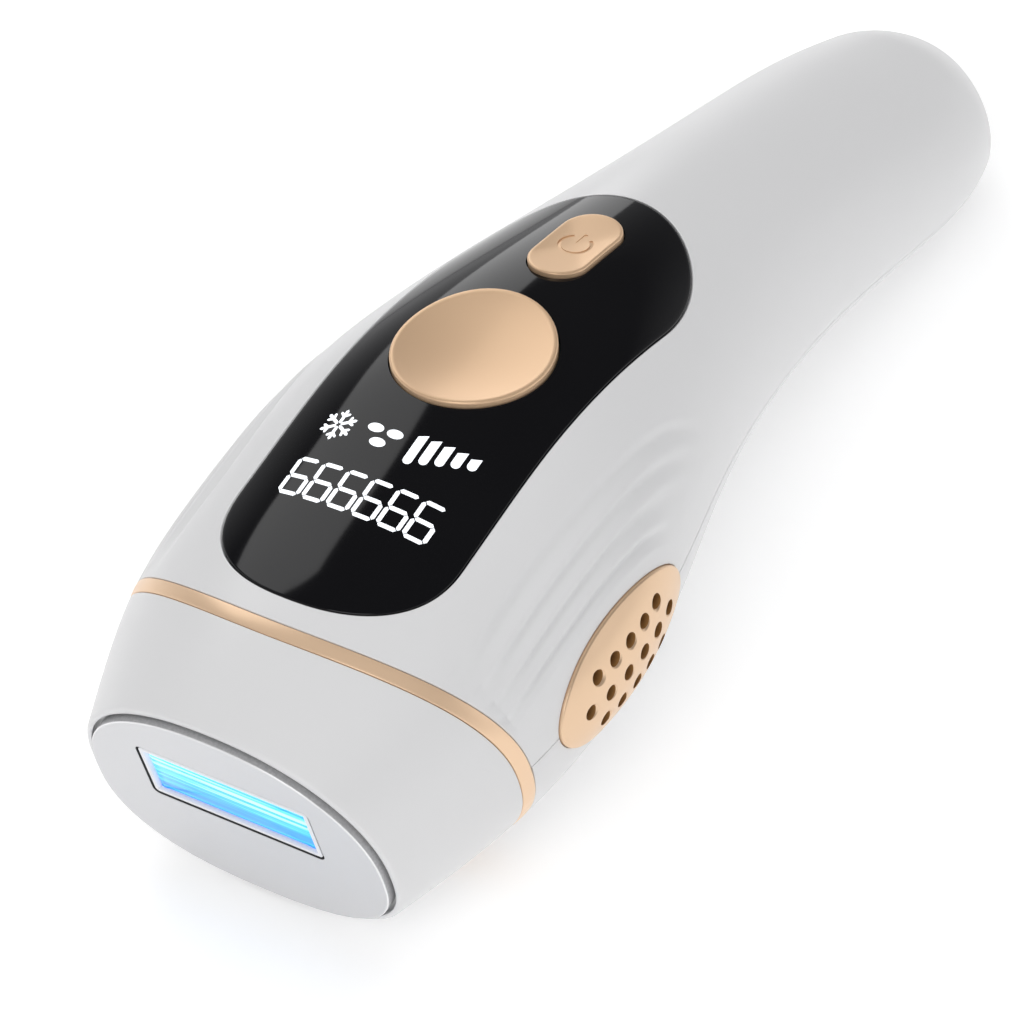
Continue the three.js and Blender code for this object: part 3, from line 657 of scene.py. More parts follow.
def step_depth(travel, angle):
    """Depth of the steps round the vents. Between one outline and the next the surface drops fast
    and climbs back slowly. The steps die out towards the ring and up the rear of the side."""
    point = skin(travel, angle)
    y, z = point[..., 1], point[..., 2]
    reach = [(np.abs((y - STEP_Y) / long) ** STEP_POWER
              + np.abs(np.maximum(z - STEP_Z, 0) / high) ** STEP_POWER) ** (1 / STEP_POWER)
             for long, high in STEPS]
    depth = np.zeros_like(y)
    for outer, inner in zip(reach, reach[1:]):
        share = (1 - outer) / np.maximum(inner - outer, 1e-6)
        wave = ease(share / STEP_DROP) * ease((1 - share) / (1 - STEP_DROP))
        depth = depth + STEP_DEPTH * np.where((outer < 1) & (inner > 1), wave, 0)
    by_ring, up_side, by_rear = ((value - gone) / (full - gone) for value, (gone, full)
                                 in ((y, FADE_RING), (z, FADE_UP), (y, FADE_REAR)))
    return depth * ease(by_ring) * np.clip(up_side + np.clip(by_rear, 0, 1), 0, 1)


def slope_rows(near, far, rows):
    """Rows of travel and angle from one line of the skin to another."""
    share = np.linspace(0, 1, rows)[:, None]
    return tuple(a + (b - a) * share for a, b in zip(near, far))


def edge_rows(line_at):
    """Sheet over a rounded edge and down the wall behind it. line_at(away) gives travel and angle."""
    rows = [(line_at(away), deep) for away, deep in round_edge(EDGE, 3)] + [(line_at(0.0), WALL)]
    return np.stack([skin(travel, angle, depth + (step_depth(travel, angle) if depth < WALL else 0))
                     for (travel, angle), depth in rows])


def upper_line(away):
    """The border with the arc at HANDLE_Y added."""
    seam, angle = shell_border(1, away)
    arc = np.linspace(0, 1, ARC_COLUMNS)[1:]
    return (np.append(seam, np.full(len(arc), HANDLE_Y)),
            np.append(angle, angle[-1] + (math.pi / 2 - angle[-1]) * arc))


TAIL_COLUMNS, TIP_COLUMNS = 65, 25


def tail_columns(turn):
    """Travel from HANDLE_Y to the point where the seam turns round, closer together towards it."""
    return HANDLE_Y + (turn - HANDLE_Y) * (1 - (1 - np.linspace(0, 1, TAIL_COLUMNS)) ** 2)


def handle_grid(away, inset):
    """The plain handle and tail tip behind HANDLE_Y, from the seam to the crown's middle."""
    lift = SEAM_GAP + away
    turn = turn_point(lift)
    ahead = tail_columns(turn)
    low = seam_angle(ahead, lift)
    low[-1] = -math.pi / 2
    travel = joined(ahead, np.linspace(turn, TIP, TIP_COLUMNS))
    low = np.append(low, np.full(TIP_COLUMNS - 1, -math.pi / 2))[:, None]
    return skin(travel[:, None], low + (math.pi / 2 - low) * np.linspace(0, 1, ARC_COLUMNS), inset)


def mirrored(sheets):
    """The right half's sheets and their mirror images across the middle plane."""
    return sheets + [sheet * (-1, 1, 1) for sheet in sheets]


def cut(piece, tool, operation="DIFFERENCE"):
    """Joins or cuts a piece with a closed tool mesh, which is used up."""
    modifier = piece.modifiers.new("cut", "BOOLEAN")
    modifier.operation, modifier.solver, modifier.object = operation, "EXACT", tool
    bpy.context.view_layer.update()
    result = bpy.data.meshes.new_from_object(piece.evaluated_get(bpy.context.evaluated_depsgraph_get()))
    piece.modifiers.clear()
    old, piece.data = piece.data, result
    result.name = old.name + "_cut"
    bpy.data.meshes.remove(old)
    bpy.data.meshes.remove(tool.data)
    weld(result)


anchors = joined(*(np.linspace(a, b, n) for a, b, n in
                   ((0, 0.5, RING_COLUMNS), (0.5, 1, ENTRY_COLUMNS), (1, 1.5, VENT_COLUMNS),
                    (1.5, 2.5, SEAM_COLUMNS), (2.5, 3, ARC_COLUMNS))))
top_travel, top_angle = slope_rows(panel_outline(anchors, PANEL_GAP + EDGE), upper_line(EDGE), 121)
inner_travel, inner_angle = slope_rows(panel_outline(anchors, PANEL_GAP), upper_line(0.0), 9)
upper_sheets = [
    skin(top_travel, top_angle, step_depth(top_travel, top_angle)),
    skin(inner_travel, inner_angle, WALL),
    edge_rows(lambda away: panel_outline(anchors, PANEL_GAP + away)),
    edge_rows(lambda away: shell_border(1, away)),
    handle_grid(EDGE, 0.0),
    handle_grid(0.0, WALL),
    np.stack([handle_grid(away, deep)[:TAIL_COLUMNS, 0] for away, deep in round_edge(EDGE, 3)]
             + [handle_grid(0.0, WALL)[:TAIL_COLUMNS, 0]]),
]
upper_shell = build("upper_shell_moulding", mirrored(upper_sheets))
inlet_middle = np.array([0, INLET_Y, INLET_Z])
socket_hole = [(0, -8), (INLET_R + 0.15, -8), (INLET_R + 0.15, 12), (0, 12)]
cut(upper_shell, build("socket_hole", [lathe(socket_hole, inlet_middle, level, 64)]))
place(upper_shell, "upper_shell", "housing", white_gloss)

# ---- Lower shell ------------------------------------------------------------------------------
# The white moulding under the side seam. Three deep screw holes in its belly reach up into posts
# that meet the upper shell's own, and its front edge sits on the trim ring's collar.
SCREW_SPOTS = ((-17.5, 68.0), (17.5, 68.0), (0.0, 163.0))
POST_R, HEAD_BORE, SHANK_BORE, HEAD_UNDER = 3.9, 2.7, 1.4, 5.5
POST_FOOT, POST_TOP = 1.2, 0.3  # above the skin at the post's outer side, and short of the seam
UNDER_VENT = (33.0, 62.0)  # the belly's stretch that the vent's columns run down to


def lower_grid(away, inset):
    """Right half of the lower shell from its upper border to the middle of the belly. The front
    edge follows the ring's bowed plane, and the rear end closes where the seam turns round."""
    lift = -(SEAM_GAP + away)
    seam, angle = shell_border(-1, away)
    turn = turn_point(lift)
    tail = tail_columns(turn)[1:]
    seam, angle = np.append(seam, tail), np.append(angle, seam_angle(tail, lift))
    angle[-1] = -math.pi / 2
    plane = RING_BACK + RING_GAP
    belly = joined(np.linspace(plane, UNDER_VENT[0], ENTRY_COLUMNS),
                   np.linspace(*UNDER_VENT, VENT_COLUMNS),
                   np.linspace(UNDER_VENT[1], HANDLE_Y, SEAM_COLUMNS), tail_columns(turn))
    travel, angles = slope_rows((seam, angle), (belly, np.full_like(seam, -math.pi / 2)), 61)
    bow = ring_travel(angles, plane) - travel[:, :1]
    return skin(travel + bow * np.clip(1 - (travel - plane) / 12, 0, 1), angles, inset)


lower_outer, lower_inner = lower_grid(EDGE, 0.0), lower_grid(0.0, WALL)
lower_edge = np.stack([lower_grid(away, deep)[0] for away, deep in round_edge(EDGE, 3)] + [lower_inner[0]])
front_edge = np.stack([np.append(lower_edge[:-1, 0][::-1], lower_outer[1:, 0], axis=0),
                       np.append(np.repeat(lower_inner[:1, 0], len(lower_edge) - 1, axis=0),
                                 lower_inner[1:, 0], axis=0)])
lower_shell = build("lower_shell_moulding", mirrored([lower_outer, lower_inner, lower_edge, front_edge]))


def belly_height(x, y):
    """Height of the skin's lower half over the plan point (x, y)."""
    power = powers(y, False)
    middle = line(WIDEST, y)
    return middle - (middle - line(BELLY, y)) * (1 - (abs(x) / line(WIDTH, y)) ** power) ** (1 / power)


def at_screws(profile_at, name):
    """One tool mesh with a turned shape at each screw, standing along the device's z."""
    return build(name, [lathe(profile_at(line(SEAM, y), belly_height(abs(x) + POST_R, y)),
                              np.array([x, y, 0.0]), (0, 0, 1), 32) for x, y in SCREW_SPOTS])


def post_profile(seam, belly):
    """Outline of a post from inside the wall up to the seam. belly is the skin at its outer side."""
    top, foot = seam - POST_TOP, belly + POST_FOOT
    return [(0, top), (POST_R, top), (POST_R, foot), (0, foot)]


def bore_profile(seam, belly):
    """Outline of the hole from below the skin: the screw head's width, then the shank's."""
    under = seam - HEAD_UNDER
    return [(0, belly - 9), (HEAD_BORE + 0.25, belly - 9), (HEAD_BORE, belly + 2), (HEAD_BORE, under),
            (SHANK_BORE, under), (SHANK_BORE, seam + 3), (0, seam + 3)]


cut(lower_shell, at_screws(post_profile, "screw_posts"), "UNION")
cut(lower_shell, at_screws(bore_profile, "screw_bores"))
place(lower_shell, "lower_shell", "housing", white_gloss)

# ---- Display panel ----------------------------------------------------------------------------
# The gloss black window over the display and the buttons. It is moulded in one, lies flush in the
# upper shell with a rounded edge, and has a hole for each button.
PANEL_SINK, PANEL_EDGE = 0.04, 0.22
KEY_POINT = np.array([0.0, 69.0, 12.4])  # the key board's face under the flash button
FLASH_R, POWER_ALONG, POWER_HALF, POWER_STRAIGHT = 12.0, 26.8, 4.7, 4.1
BUTTON_GAP = 0.22

panel_black = finish("gloss_black_panel", (0.004, 0.004, 0.005), (0.006, 0.006, 0.007),
                     {"Roughness": 0.07, "Roughness spread": 0.02, "Bump": 0.0}, IOR=1.45)


def panel_grid(grow, inset):
    """Cross lines of the panel from its right edge to the middle."""
    stretches = (np.linspace(0, 1, 49), np.linspace(1, 2, 61), np.linspace(2, 3, 49))
    y, angle = panel_outline(joined(*stretches), grow)
    x = line(WIDTH, y) * np.cos(angle) ** (2 / powers(y, True))
    x[0] = x[-1] = 0
    x = x * np.linspace(1, 0, 41)[:, None]
    return skin(y + 0 * x, plan_angle(x, y), inset)


panel_outer = panel_grid(-PANEL_GAP - PANEL_EDGE, PANEL_SINK)
panel_inner = panel_grid(-PANEL_GAP, WALL)
panel_edge = [panel_grid(-PANEL_GAP - away, PANEL_SINK + deep)[0] for away, deep in round_edge(PANEL_EDGE)]
display_panel = build("display_panel_moulding",
                      mirrored([panel_outer, panel_inner, np.stack(panel_edge + [panel_inner[0]])]))


def crown_height(x, y, inset=0.0):
    """Height of the skin's top half over the plan point (x, y)."""
    power = powers(y, True)
    width, middle = line(WIDTH, y) - inset, line(WIDEST, y)
    share = np.clip(np.abs(x) / width, 0, 1) ** power
    return middle + (line(CROWN, y) - middle - inset) * (1 - share) ** (1 / power)


def key_point(x, s, height):
    """Point over the key board: x across, s along it from the flash button's middle, and height."""
    x, s, height = np.broadcast_arrays(x, s, height)
    return KEY_POINT + x[..., None] * across + s[..., None] * level + height[..., None] * plumb


def key_height(x, s, inset):
    """Height over the key board of the skin pulled in by inset, found in a few steps."""
    height = np.full(np.broadcast_shapes(np.shape(x), np.shape(s)), 8.0)
    for _ in range(20):
        y = KEY_POINT[1] + s * level[1] + height * plumb[1]
        height = (crown_height(x, y, inset) - KEY_POINT[2] - s * level[2]) / plumb[2]
    return height


def key_outline(half, straight, along, grow=0.0):
    """Closed outline over the key board: two half circles joined by straight sides, or with no
    straight side one whole circle."""
    turn = np.linspace(0, math.pi, 65)
    radius = half + grow
    run = np.linspace(1, -1, 17)[1:-1] * straight
    x = np.concatenate([radius * np.cos(turn), np.full(len(run), -radius), -radius * np.cos(turn),
                        np.full(len(run), radius)])
    s = np.concatenate([radius * np.sin(turn) + straight, run, -radius * np.sin(turn) - straight, -run])
    if not straight:
        x, s = radius * np.cos(2 * turn), radius * np.sin(2 * turn)
        return x, s + along
    return np.append(x, x[0]), np.append(s, s[0]) + along


def key_hole(name, half, straight, along):
    """Tool that cuts a button's hole through the panel."""
    x, s = key_outline(half, straight, along, BUTTON_GAP)
    rows = [(0, -4), (1, -4), (1, 14), (0, 14)]
    return build(name, [np.stack([key_point(x * share, along + (s - along) * share, height)
                                  for share, height in rows])])


cut(display_panel, key_hole("flash_hole", FLASH_R, 0.0, 0.0))
cut(display_panel, key_hole("power_hole", POWER_HALF, POWER_STRAIGHT, POWER_ALONG))
place(display_panel, "display_panel", "housing", panel_black)

# ---- Display symbols --------------------------------------------------------------------------
# What the display shows through the black window while the device is on: a counter of six
# seven-segment digits, a cooling mark, three skin tone marks and five level bars, all in white.
DIGIT_HIGH, DIGIT_WIDE, DIGIT_PITCH, DIGIT_LINE = 6.1, 3.2, 4.19, 0.62
DIGIT_LEFT, DIGIT_BASE = -12.05, 38.35
SNOW_AT, SNOW_R = (-10.1, 51.3), 2.8
TONES_AT, TONE_LONG, TONE_HIGH = ((-4.3, 52.5), (-1.0, 52.4), (-2.7, 50.3)), 1.3, 0.75
BARS_X, BARS_TOP, BAR_FOOT, BAR_PITCH, BAR_RISE, BAR_HALF = 3.0, 53.7, 48.6, 2.13, 0.78, 0.7
LIT_HIGH, LIT_LOW = -0.02, 0.03  # insets of a symbol's two faces, just over the panel's own

lit_white = finish("lit_symbol", (0.85, 0.87, 0.90), (0.80, 0.83, 0.88),
                   {"Roughness": 0.4, "Bump": 0.0}, Emission_Color=(0.92, 0.96, 1.0, 1),
                   Emission_Strength=0.75)


def on_panel(x, y, inset):
    """Points of the skin over the plan points (x, y)."""
    return np.stack([x, y + 0 * x, crown_height(x, y, inset)], -1)


def flat_shape(x, y):
    """Thin closed plate lying on the panel over a grid of plan points."""
    top, bottom = on_panel(x, y, LIT_HIGH), on_panel(x, y, LIT_LOW)
    return [top, bottom, np.stack([top[0], bottom[0]]), np.stack([top[-1], bottom[-1]]),
            np.stack([top[:, 0], bottom[:, 0]]), np.stack([top[:, -1], bottom[:, -1]])]


def stroke(start_point, end_point, width):
    """A bar between two plan points, with pointed ends like a display segment's."""
    first, last = np.array(start_point, float), np.array(end_point, float)
    length = np.linalg.norm(last - first)
    run = np.array([0, width / 2, *np.linspace(width / 2, length - width / 2, 7)[1:-1],
                    length - width / 2, length])
    half = np.minimum(np.minimum(run, length - run), width / 2) + 0.02
    ahead = (last - first) / length
    aside = np.array([-ahead[1], ahead[0]])
    side = np.linspace(-1, 1, 3)[None, :, None] * half[:, None, None]
    plan = first + run[:, None, None] * ahead + side * aside
    return flat_shape(plan[..., 0], plan[..., 1])


def digit_six(left):
    """The digit 6 of a seven-segment display."""
    low, middle, high = DIGIT_BASE, DIGIT_BASE + DIGIT_HIGH / 2, DIGIT_BASE + DIGIT_HIGH
    gap, right = 0.12, left + DIGIT_WIDE
    strokes = [((left + gap, y), (right - gap, y)) for y in (low, middle, high)]
    strokes += [((left, low + gap), (left, middle - gap)), ((left, middle + gap), (left, high - gap)),
                ((right, low + gap), (right, middle - gap))]
    return [sheet for ends in strokes for sheet in stroke(*ends, DIGIT_LINE)]


def cooling_mark(x, y, radius):
    """A six-armed snow crystal with a pair of short twigs on each arm."""
    sheets = []
    for k in range(6):
        turn = math.pi / 6 + k * math.pi / 3
        arm = np.array([math.cos(turn), math.sin(turn)])
        fork = np.array([x, y]) + 0.55 * radius * arm
        sheets += stroke(np.array([x, y]) + 0.1 * radius * arm, np.array([x, y]) + radius * arm, 0.46)
        for lean in (-0.9, 0.9):
            twig = np.array([math.cos(turn + lean), math.sin(turn + lean)])
            sheets += stroke(fork, fork + 0.38 * radius * twig, 0.38)
    return sheets


def tone_mark(x, y, long, high):
    """An oval dot, as one closed sheet from the middle of its top to the middle of its bottom."""
    turn = np.linspace(0, 2 * math.pi, 41)
    rows = [(share, LIT_HIGH) for share in (0, 0.5, 1)] + [(share, LIT_LOW) for share in (1, 0.5, 0)]
    return [np.stack([on_panel(x + share * long * np.cos(turn), y + share * high * np.sin(turn), inset)
                      for share, inset in rows])]


def level_bar(x, low, high, half):
    """A bar with a round foot and a slanting top."""
    v = np.concatenate([half * (1 - np.cos(np.linspace(0, math.pi / 2, 9))) / (high - low),
                        np.linspace(0.2, 1, 7)])[:, None]
    foot = np.clip(v * (high - low) / half, 0, 1)
    side = np.linspace(-1, 1, 9) * (np.sqrt(1 - (1 - foot) ** 2) * half + 0.005)
    return flat_shape(x + side, low + (high - low) * v + 0.45 * side * v ** 6)


symbols = [sheet for k in range(6) for sheet in digit_six(DIGIT_LEFT + k * DIGIT_PITCH)]
symbols += cooling_mark(*SNOW_AT, SNOW_R)
for tone_at in TONES_AT:
    symbols += tone_mark(*tone_at, TONE_LONG, TONE_HIGH)
for k in range(5):
    symbols += level_bar(BARS_X + BAR_PITCH * k, BAR_FOOT + BAR_RISE * k, BARS_TOP, BAR_HALF)
display_symbols = build("display_symbols", symbols)
display_symbols.data.materials.append(lit_white)
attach(display_symbols, "housing")

# ---- Buttons ----------------------------------------------------------------------------------
# The flash button and the power button are plated caps in the panel's holes, slightly dished for
# the finger. Each slides straight down onto its switch. The power button has an engraved sign.
BUTTON_PROUD, BUTTON_EDGE, BUTTON_FOOT, FLASH_DISH, POWER_DISH = 0.8, 0.3, 2.6, 2.3, 0.5

plating = finish("champagne_button", (0.87, 0.60, 0.38), (0.83, 0.56, 0.35),
                 {"Roughness": 0.34, "Roughness spread": 0.02, "Bump": 0.0, "Patch size": 30.0},
                 Metallic=0.5)


def button_cap(name, half, straight, along, dish):
    """Closed cap: a top dished by a parabola, rounded edge, side wall and a foot inside the skin."""
    def ring(grow, share, inset, drop=0.0):
        """The cap's outline drawn in by share, inset below the skin and dropped by drop."""
        x, s = key_outline(half, straight, along, grow)
        x, s = x * share, along + (s - along) * share
        return key_point(x, s, key_height(x, s, inset) - drop)
    rows = [ring(-BUTTON_EDGE, share, -BUTTON_PROUD + dish * (1 - share ** 2))
            for share in np.linspace(0, 1, 26)]
    rows += [ring(-away, 1, -BUTTON_PROUD, deep) for away, deep in round_edge(BUTTON_EDGE, 6)[1:]]
    rows += [ring(0, share, BUTTON_FOOT) for share in (1, 0.5, 0)]
    return build(name, [np.stack(rows)], sharp=50)


def power_sign(radius=2.35, half=0.26, depth=0.16, gap=0.62):
    """Tools for the engraved sign: an open ring and a bar through its gap, across the top's dish."""
    turn = math.pi / 2 + np.linspace(gap, 2 * math.pi - gap, 61)
    ring = [(r * np.cos(turn), POWER_ALONG + r * np.sin(turn)) for r in (radius - half, radius + half)]
    bar = [(np.full(9, x), np.linspace(POWER_ALONG + 0.5, POWER_ALONG + radius + 0.7, 9))
           for x in (-half, half)]
    sheets = []
    for (x0, s0), (x1, s1) in (ring, bar):
        x, s = np.stack([x0, x1, x1, x0, x0]), np.stack([s0, s1, s1, s0, s0])
        base = key_height(x, s, -BUTTON_PROUD + POWER_DISH * 0.8)
        height = base + np.array([-depth, -depth, 1, 1, -depth])[:, None]
        walls = key_point(x, s, height)
        sheets.append(walls)
        for end in (0, -1):
            a, b, c, d = walls[:4, end]
            sheets.append(np.array([[a, b], [d, c]]))
    return build("power_sign", sheets)


flash_button = button_cap("flash_button_cap", FLASH_R, 0.0, 0.0, FLASH_DISH)
place(flash_button, "flash_button", "flash_button", plating)
power_button = button_cap("power_button_cap", POWER_HALF, POWER_STRAIGHT, POWER_ALONG, POWER_DISH)
cut(power_button, power_sign())
place(power_button, "power_button", "power_button", plating)

# ---- Side vents -------------------------------------------------------------------------------
# A domed oval grille on each side lets the fan breathe. It is pressed over the shells' seam into
# an oval opening, and has three rows of countersunk holes.
VENT_PROUD, VENT_CROWN, VENT_EDGE, VENT_DEPTH = 0.5, 1.25, 0.3, WALL + 0.6
VENT_HOLE, HOLE_FAN = 1.12, 40.0  # hole radius, and how far behind the face the holes would meet
VENT_ROWS = ((5, 4.0, 4.0), (6, 4.4, 0.0), (5, 4.0, -4.0))  # count, pitch, height

grille_gold = finish("champagne_grille", (0.86, 0.62, 0.42), (0.83, 0.59, 0.39),
                     {"Roughness": 0.32, "Roughness spread": 0.02, "Bump": 0.0, "Patch size": 30.0},
                     Metallic=0.65)
# Dark brown for the walls of the grille's holes: painted shade inside the holes.
hole_wall_shade = finish("hole_wall_painted_shade", (0.34, 0.17, 0.055), (0.26, 0.13, 0.04),
                     {"Roughness": 0.6, "Bump": 0.05}, Specular_IOR_Level=0.2)


def vent_point(y, z, inset):
    """Point of the right side at the side view's (y, z), pushed out or in along the skin."""
    return skin(y, side_angle(y, z), inset)


def grille_ring(grow, share, inset):
    """Oval line of the grille, drawn in towards its middle by share."""
    y, z = vent_curve(np.linspace(0, 2 * math.pi, 145), grow)
    return vent_point(VENT_Y + (y - VENT_Y) * share, VENT_Z + (z - VENT_Z) * share, inset)


def grille_crown(share):
    """How far the dome stands out of the skin."""
    return VENT_PROUD + VENT_CROWN * (1 - share ** 2)


grille_rows = [grille_ring(-VENT_EDGE, share, -grille_crown(share)) for share in np.linspace(0, 1, 33)]
grille_rows += [grille_ring(-away, 1, deep - grille_crown(1)) for away, deep in round_edge(VENT_EDGE)[1:]]
grille_rows += [grille_ring(0, share, VENT_DEPTH) for share in np.linspace(1, 0, 9)]
right_grille = build("right_grille_dome", [np.stack(grille_rows)])
hole_tools = []
for count, pitch, up in VENT_ROWS:
    for k in range(count):
        ahead = (k - (count - 1) / 2) * pitch
        y = VENT_Y + ahead * math.cos(VENT_TILT) - up * math.sin(VENT_TILT)
        z = VENT_Z + ahead * math.sin(VENT_TILT) + up * math.cos(VENT_TILT)
        share = math.hypot(ahead / VENT_LONG, up / VENT_HIGH)
        face = vent_point(np.array(y), np.array(z), -grille_crown(share))
        profile = [(0, -9), (VENT_HOLE, -9), (VENT_HOLE, -0.25), (VENT_HOLE + 0.05, -0.12),
                   (VENT_HOLE + 0.2, 0.04), (VENT_HOLE + 0.5, 0.3), (VENT_HOLE + 0.5, 3), (0, 3)]
        outwards = np.array([1.0, 0.0, up / HOLE_FAN])
        hole_tools.append(lathe(profile, face, outwards / np.linalg.norm(outwards), 28))
cut(right_grille, build("grille_holes", hole_tools))
left_grille = bpy.data.objects.new("left_grille_dome", right_grille.data.copy())
bpy.context.scene.collection.objects.link(left_grille)
left_grille.data.transform(Matrix.Scale(-1, 4, (1, 0, 0)))
left_grille.data.flip_normals()
for grille, node in ((right_grille, "right_vent_grille"), (left_grille, "left_vent_grille")):
    place(grille, node, "housing", grille_gold)
    # The hole walls get the dark brown: painted shade.
    second_finish(grille, hole_wall_shade, lambda normals, middles: (np.abs(normals[:, 0]) < 0.5) & (
        np.hypot((middles[:, 1] - VENT_Y) / VENT_LONG, (middles[:, 2] - VENT_Z) / VENT_HIGH) < 0.88))

# ---- Charger socket ---------------------------------------------------------------------------
# A round black socket in the tail tip for the charger's plug: a turned rim with rounded edges, a
# bore, and a centre pin. It clips in from inside the upper shell.
SOCKET_BORE, SOCKET_PIN, SOCKET_DEEP = 2.85, 1.0, 9.0
black_plastic = finish("black_moulding", (0.016, 0.016, 0.018), (0.022, 0.022, 0.024),
                       {"Roughness": 0.42, "Roughness spread": 0.12, "Bump": 0.08}, IOR=1.5)
socket_profile = [
    (0, -13), (4.4, -13), (4.4, -9),  # back of the body
    (INLET_R, -9), (INLET_R, -0.3), (INLET_R - 0.09, -0.09), (INLET_R - 0.3, 0),  # flange and rim
    (SOCKET_BORE + 0.35, 0), (SOCKET_BORE + 0.1, -0.1), (SOCKET_BORE, -0.35),
    (SOCKET_BORE, -SOCKET_DEEP), (SOCKET_PIN, -SOCKET_DEEP),  # bore
    (SOCKET_PIN, -1.5), (SOCKET_PIN - 0.1, -1.3), (SOCKET_PIN - 0.3, -1.2), (0, -1.2)]  # pin
dc_inlet = build("charger_socket", [lathe(socket_profile, inlet_middle, level, 64)])
place(dc_inlet, "dc_inlet", "housing", black_plastic)

# ---- Inner parts ------------------------------------------------------------------------------
# Boards, cooler, fan, capacitors, transformers, switches and screws keep their own solids. Each
# gets the finish of what it is made of.
# Each finish: the beginnings of its nodes' names, two tones, the grain's sizes, shader sockets.
INNER = {
    "green_laminate": (("key_board", "display_board", "main_board"),
                       (0.02, 0.16, 0.07), (0.015, 0.11, 0.05),
                       {"Roughness": 0.38, "Patch size": 180.0, "Bump": 0.05},
                       {"Coat_Weight": 0.3}),
    "white_ceramic": (("lamp_holder", "peltier_cooler"), (0.80, 0.79, 0.76), (0.74, 0.73, 0.70),
                      {"Roughness": 0.55, "Bump": 0.12}, {}),
    "sink_aluminium": (("heat_sink",), (0.62, 0.63, 0.65), (0.55, 0.56, 0.58),
                       {"Roughness": 0.36, "Roughness spread": 0.12, "Bump": 0.06}, {"Metallic": 1.0}),
    "bright_steel": (("lamp_cap", "shell_screw"), (0.60, 0.60, 0.61), (0.54, 0.54, 0.56),
                     {"Roughness": 0.28, "Roughness spread": 0.1, "Bump": 0.05}, {"Metallic": 1.0}),
    "black_fan_moulding": (("fan", "flash_switch", "power_switch", "display_module"),
                           (0.020, 0.020, 0.022), (0.028, 0.028, 0.030),
                           {"Roughness": 0.45, "Roughness spread": 0.1, "Bump": 0.08}, {}),
    "pale_plunger": (("flash_switch_plunger", "power_switch_plunger"),
                     (0.62, 0.60, 0.55), (0.58, 0.56, 0.50), {"Roughness": 0.4, "Bump": 0.04}, {}),
    "printed_sleeve": (("main_capacitor", "filter_capacitor"), (0.03, 0.04, 0.12), (0.02, 0.03, 0.09),
                       {"Roughness": 0.3, "Bump": 0.03}, {"Coat_Weight": 0.4}),
    "amber_tape": (("trigger_transformer", "power_transformer"), (0.62, 0.40, 0.08), (0.52, 0.32, 0.06),
                   {"Roughness": 0.35, "Patch size": 300.0, "Bump": 0.06}, {"Coat_Weight": 0.2}),
}
inner_finishes = {}
for name, (starts, tone, second, grain, sockets) in INNER.items():
    material = finish(name, tone, second, grain, **sockets)
    for beginning in starts:
        inner_finishes[beginning] = material
for node, piece in frame["nodes"].items():
    matches = [beginning for beginning in inner_finishes if node.startswith(beginning)]
    for spot in piece.material_slots:
        spot.link = "OBJECT"
        spot.material = inner_finishes[max(matches, key=len)] if matches else black_plastic

# ---- Floor, light and camera ------------------------------------------------------------------
# A pale table under soft studio light, seen from the head's side and above.
floor_mesh = bpy.data.meshes.new("table_top")
floor_mesh.from_pydata([(-4, -4, 0), (4, -4, 0), (4, 4, 0), (-4, 4, 0)], [], [(0, 1, 2, 3)])
floor = bpy.data.objects.new("table_top", floor_mesh)
bpy.context.scene.collection.objects.link(floor)
floor.data.materials.append(finish("pale_table", (0.93, 0.93, 0.93), (0.92, 0.92, 0.92),
                                   {"Roughness": 0.8, "Bump": 0.0, "Patch size": 2.0},
                                   Emission_Color=(1, 1, 1, 1), Emission_Strength=0.3))

world = bpy.data.worlds.new("studio")
world.use_nodes = True
bpy.context.scene.world = world
sky, sky_link = world.node_tree.nodes, world.node_tree.links.new
direction, sky_height = sky.new("ShaderNodeTexCoord"), sky.new("ShaderNodeSeparateXYZ")
sky_shades = sky.new("ShaderNodeValToRGB")
sky_link(direction.outputs["Generated"], sky_height.inputs["Vector"])
sky_link(sky_height.outputs["Z"], sky_shades.inputs["Fac"])
sky_link(sky_shades.outputs["Color"], sky["Background"].inputs["Color"])
sky["Background"].inputs["Strength"].default_value = 1.0
horizon, zenith = sky_shades.color_ramp.elements
horizon.position, horizon.color = 0.02, (0.75, 0.75, 0.76, 1)
zenith.position, zenith.color = 0.55, (0.07, 0.07, 0.072, 1)


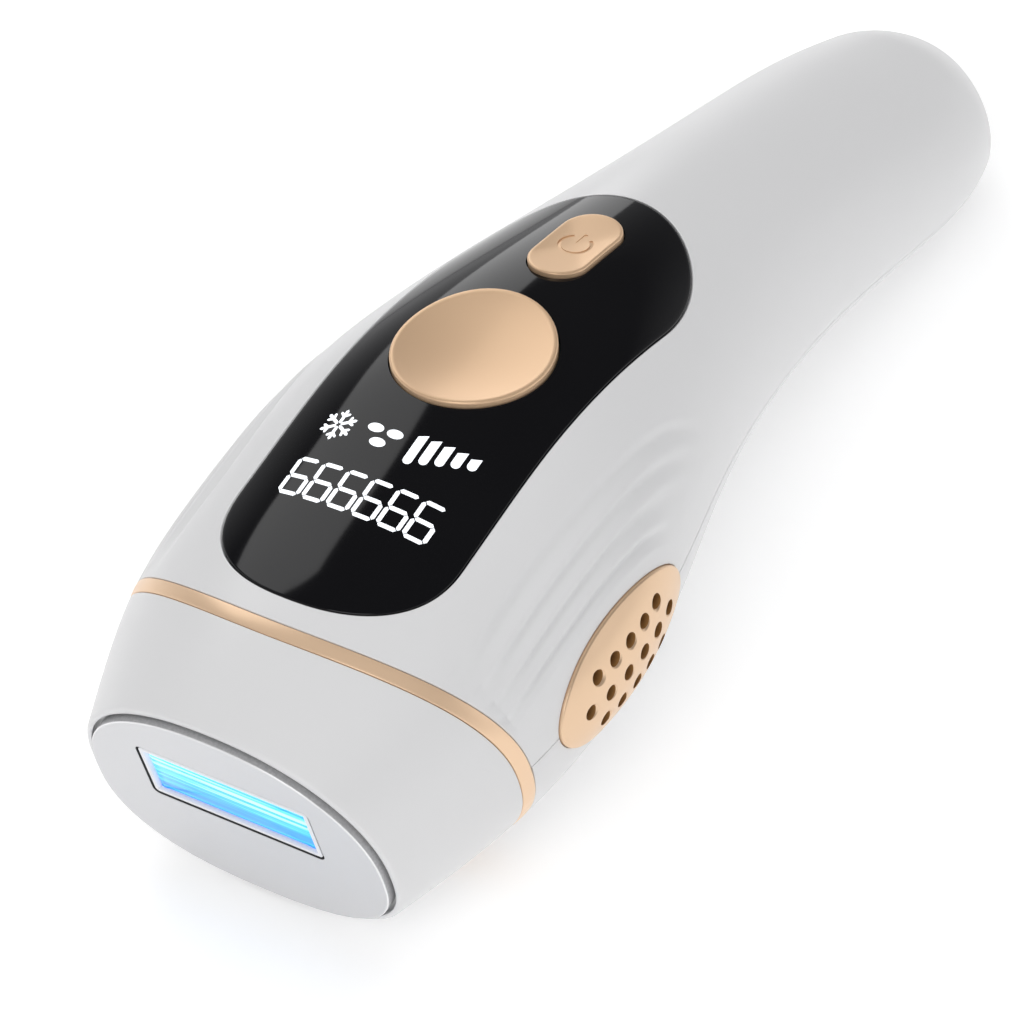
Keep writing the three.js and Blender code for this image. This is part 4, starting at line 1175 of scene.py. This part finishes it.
def softbox(name, spot, width, height, power):
    """Rectangular area light aimed at the device's middle."""
    lamp = bpy.data.lights.new(name, "AREA")
    lamp.shape, lamp.size, lamp.size_y, lamp.energy = "RECTANGLE", width, height, power
    lit = bpy.data.objects.new(name, lamp)
    bpy.context.scene.collection.objects.link(lit)
    lit.location = spot
    lit.rotation_euler = (Vector((0, 0, 0.03)) - Vector(spot)).to_track_quat("-Z", "Y").to_euler()
    return lit


overhead = softbox("overhead_softbox", (0.1, -0.2, 1.7), 2.4, 2.4, 24)
overhead.visible_glossy = False
softbox("front_softbox", (0.3, -1.3, 1.0), 0.9, 0.9, 5)

# The left softbox stands upright beside the table and is leant over in its own plane, so that the
# panel's reflection of it runs at a slant.
LEFT_AT, LEFT_LEAN = Vector((-1.2, 1.01, 1.23)), math.radians(50.8)
left_softbox = softbox("left_softbox", LEFT_AT, 1.2, 2.2, 12)
left_wide = Vector((0.0, math.cos(LEFT_LEAN), math.sin(LEFT_LEAN)))
left_tall = Vector((0.0, math.sin(LEFT_LEAN), -math.cos(LEFT_LEAN)))
left_turned = Matrix((left_wide, left_tall, left_wide.cross(left_tall))).transposed()
left_softbox.matrix_world = Matrix.Translation(LEFT_AT) @ left_turned.to_4x4()
softbox("right_fill", (1.3, 0.5, 0.6), 0.8, 0.8, 1)

CAMERA_AT, CAMERA_AIM = Vector((0.3305, -0.4682, 0.4970)), Vector((-0.0001, -0.0264, 0.0200))
CAMERA_LENS, CAMERA_SENSOR, CAMERA_ROLL = 176.0, 36.0, math.radians(-6.0)
camera = bpy.data.objects.new("camera", bpy.data.cameras.new("camera"))
bpy.context.scene.collection.objects.link(camera)
camera.data.lens, camera.data.sensor_width = CAMERA_LENS, CAMERA_SENSOR
camera.data.clip_start, camera.data.clip_end = 0.05, 20.0
camera_look = (CAMERA_AIM - CAMERA_AT).to_track_quat("-Z", "Y").to_matrix().to_4x4()
camera.matrix_world = Matrix.Translation(CAMERA_AT) @ camera_look @ Matrix.Rotation(CAMERA_ROLL, 4, "Z")
bpy.context.scene.camera = camera
bpy.context.scene.view_settings.view_transform = "Standard"
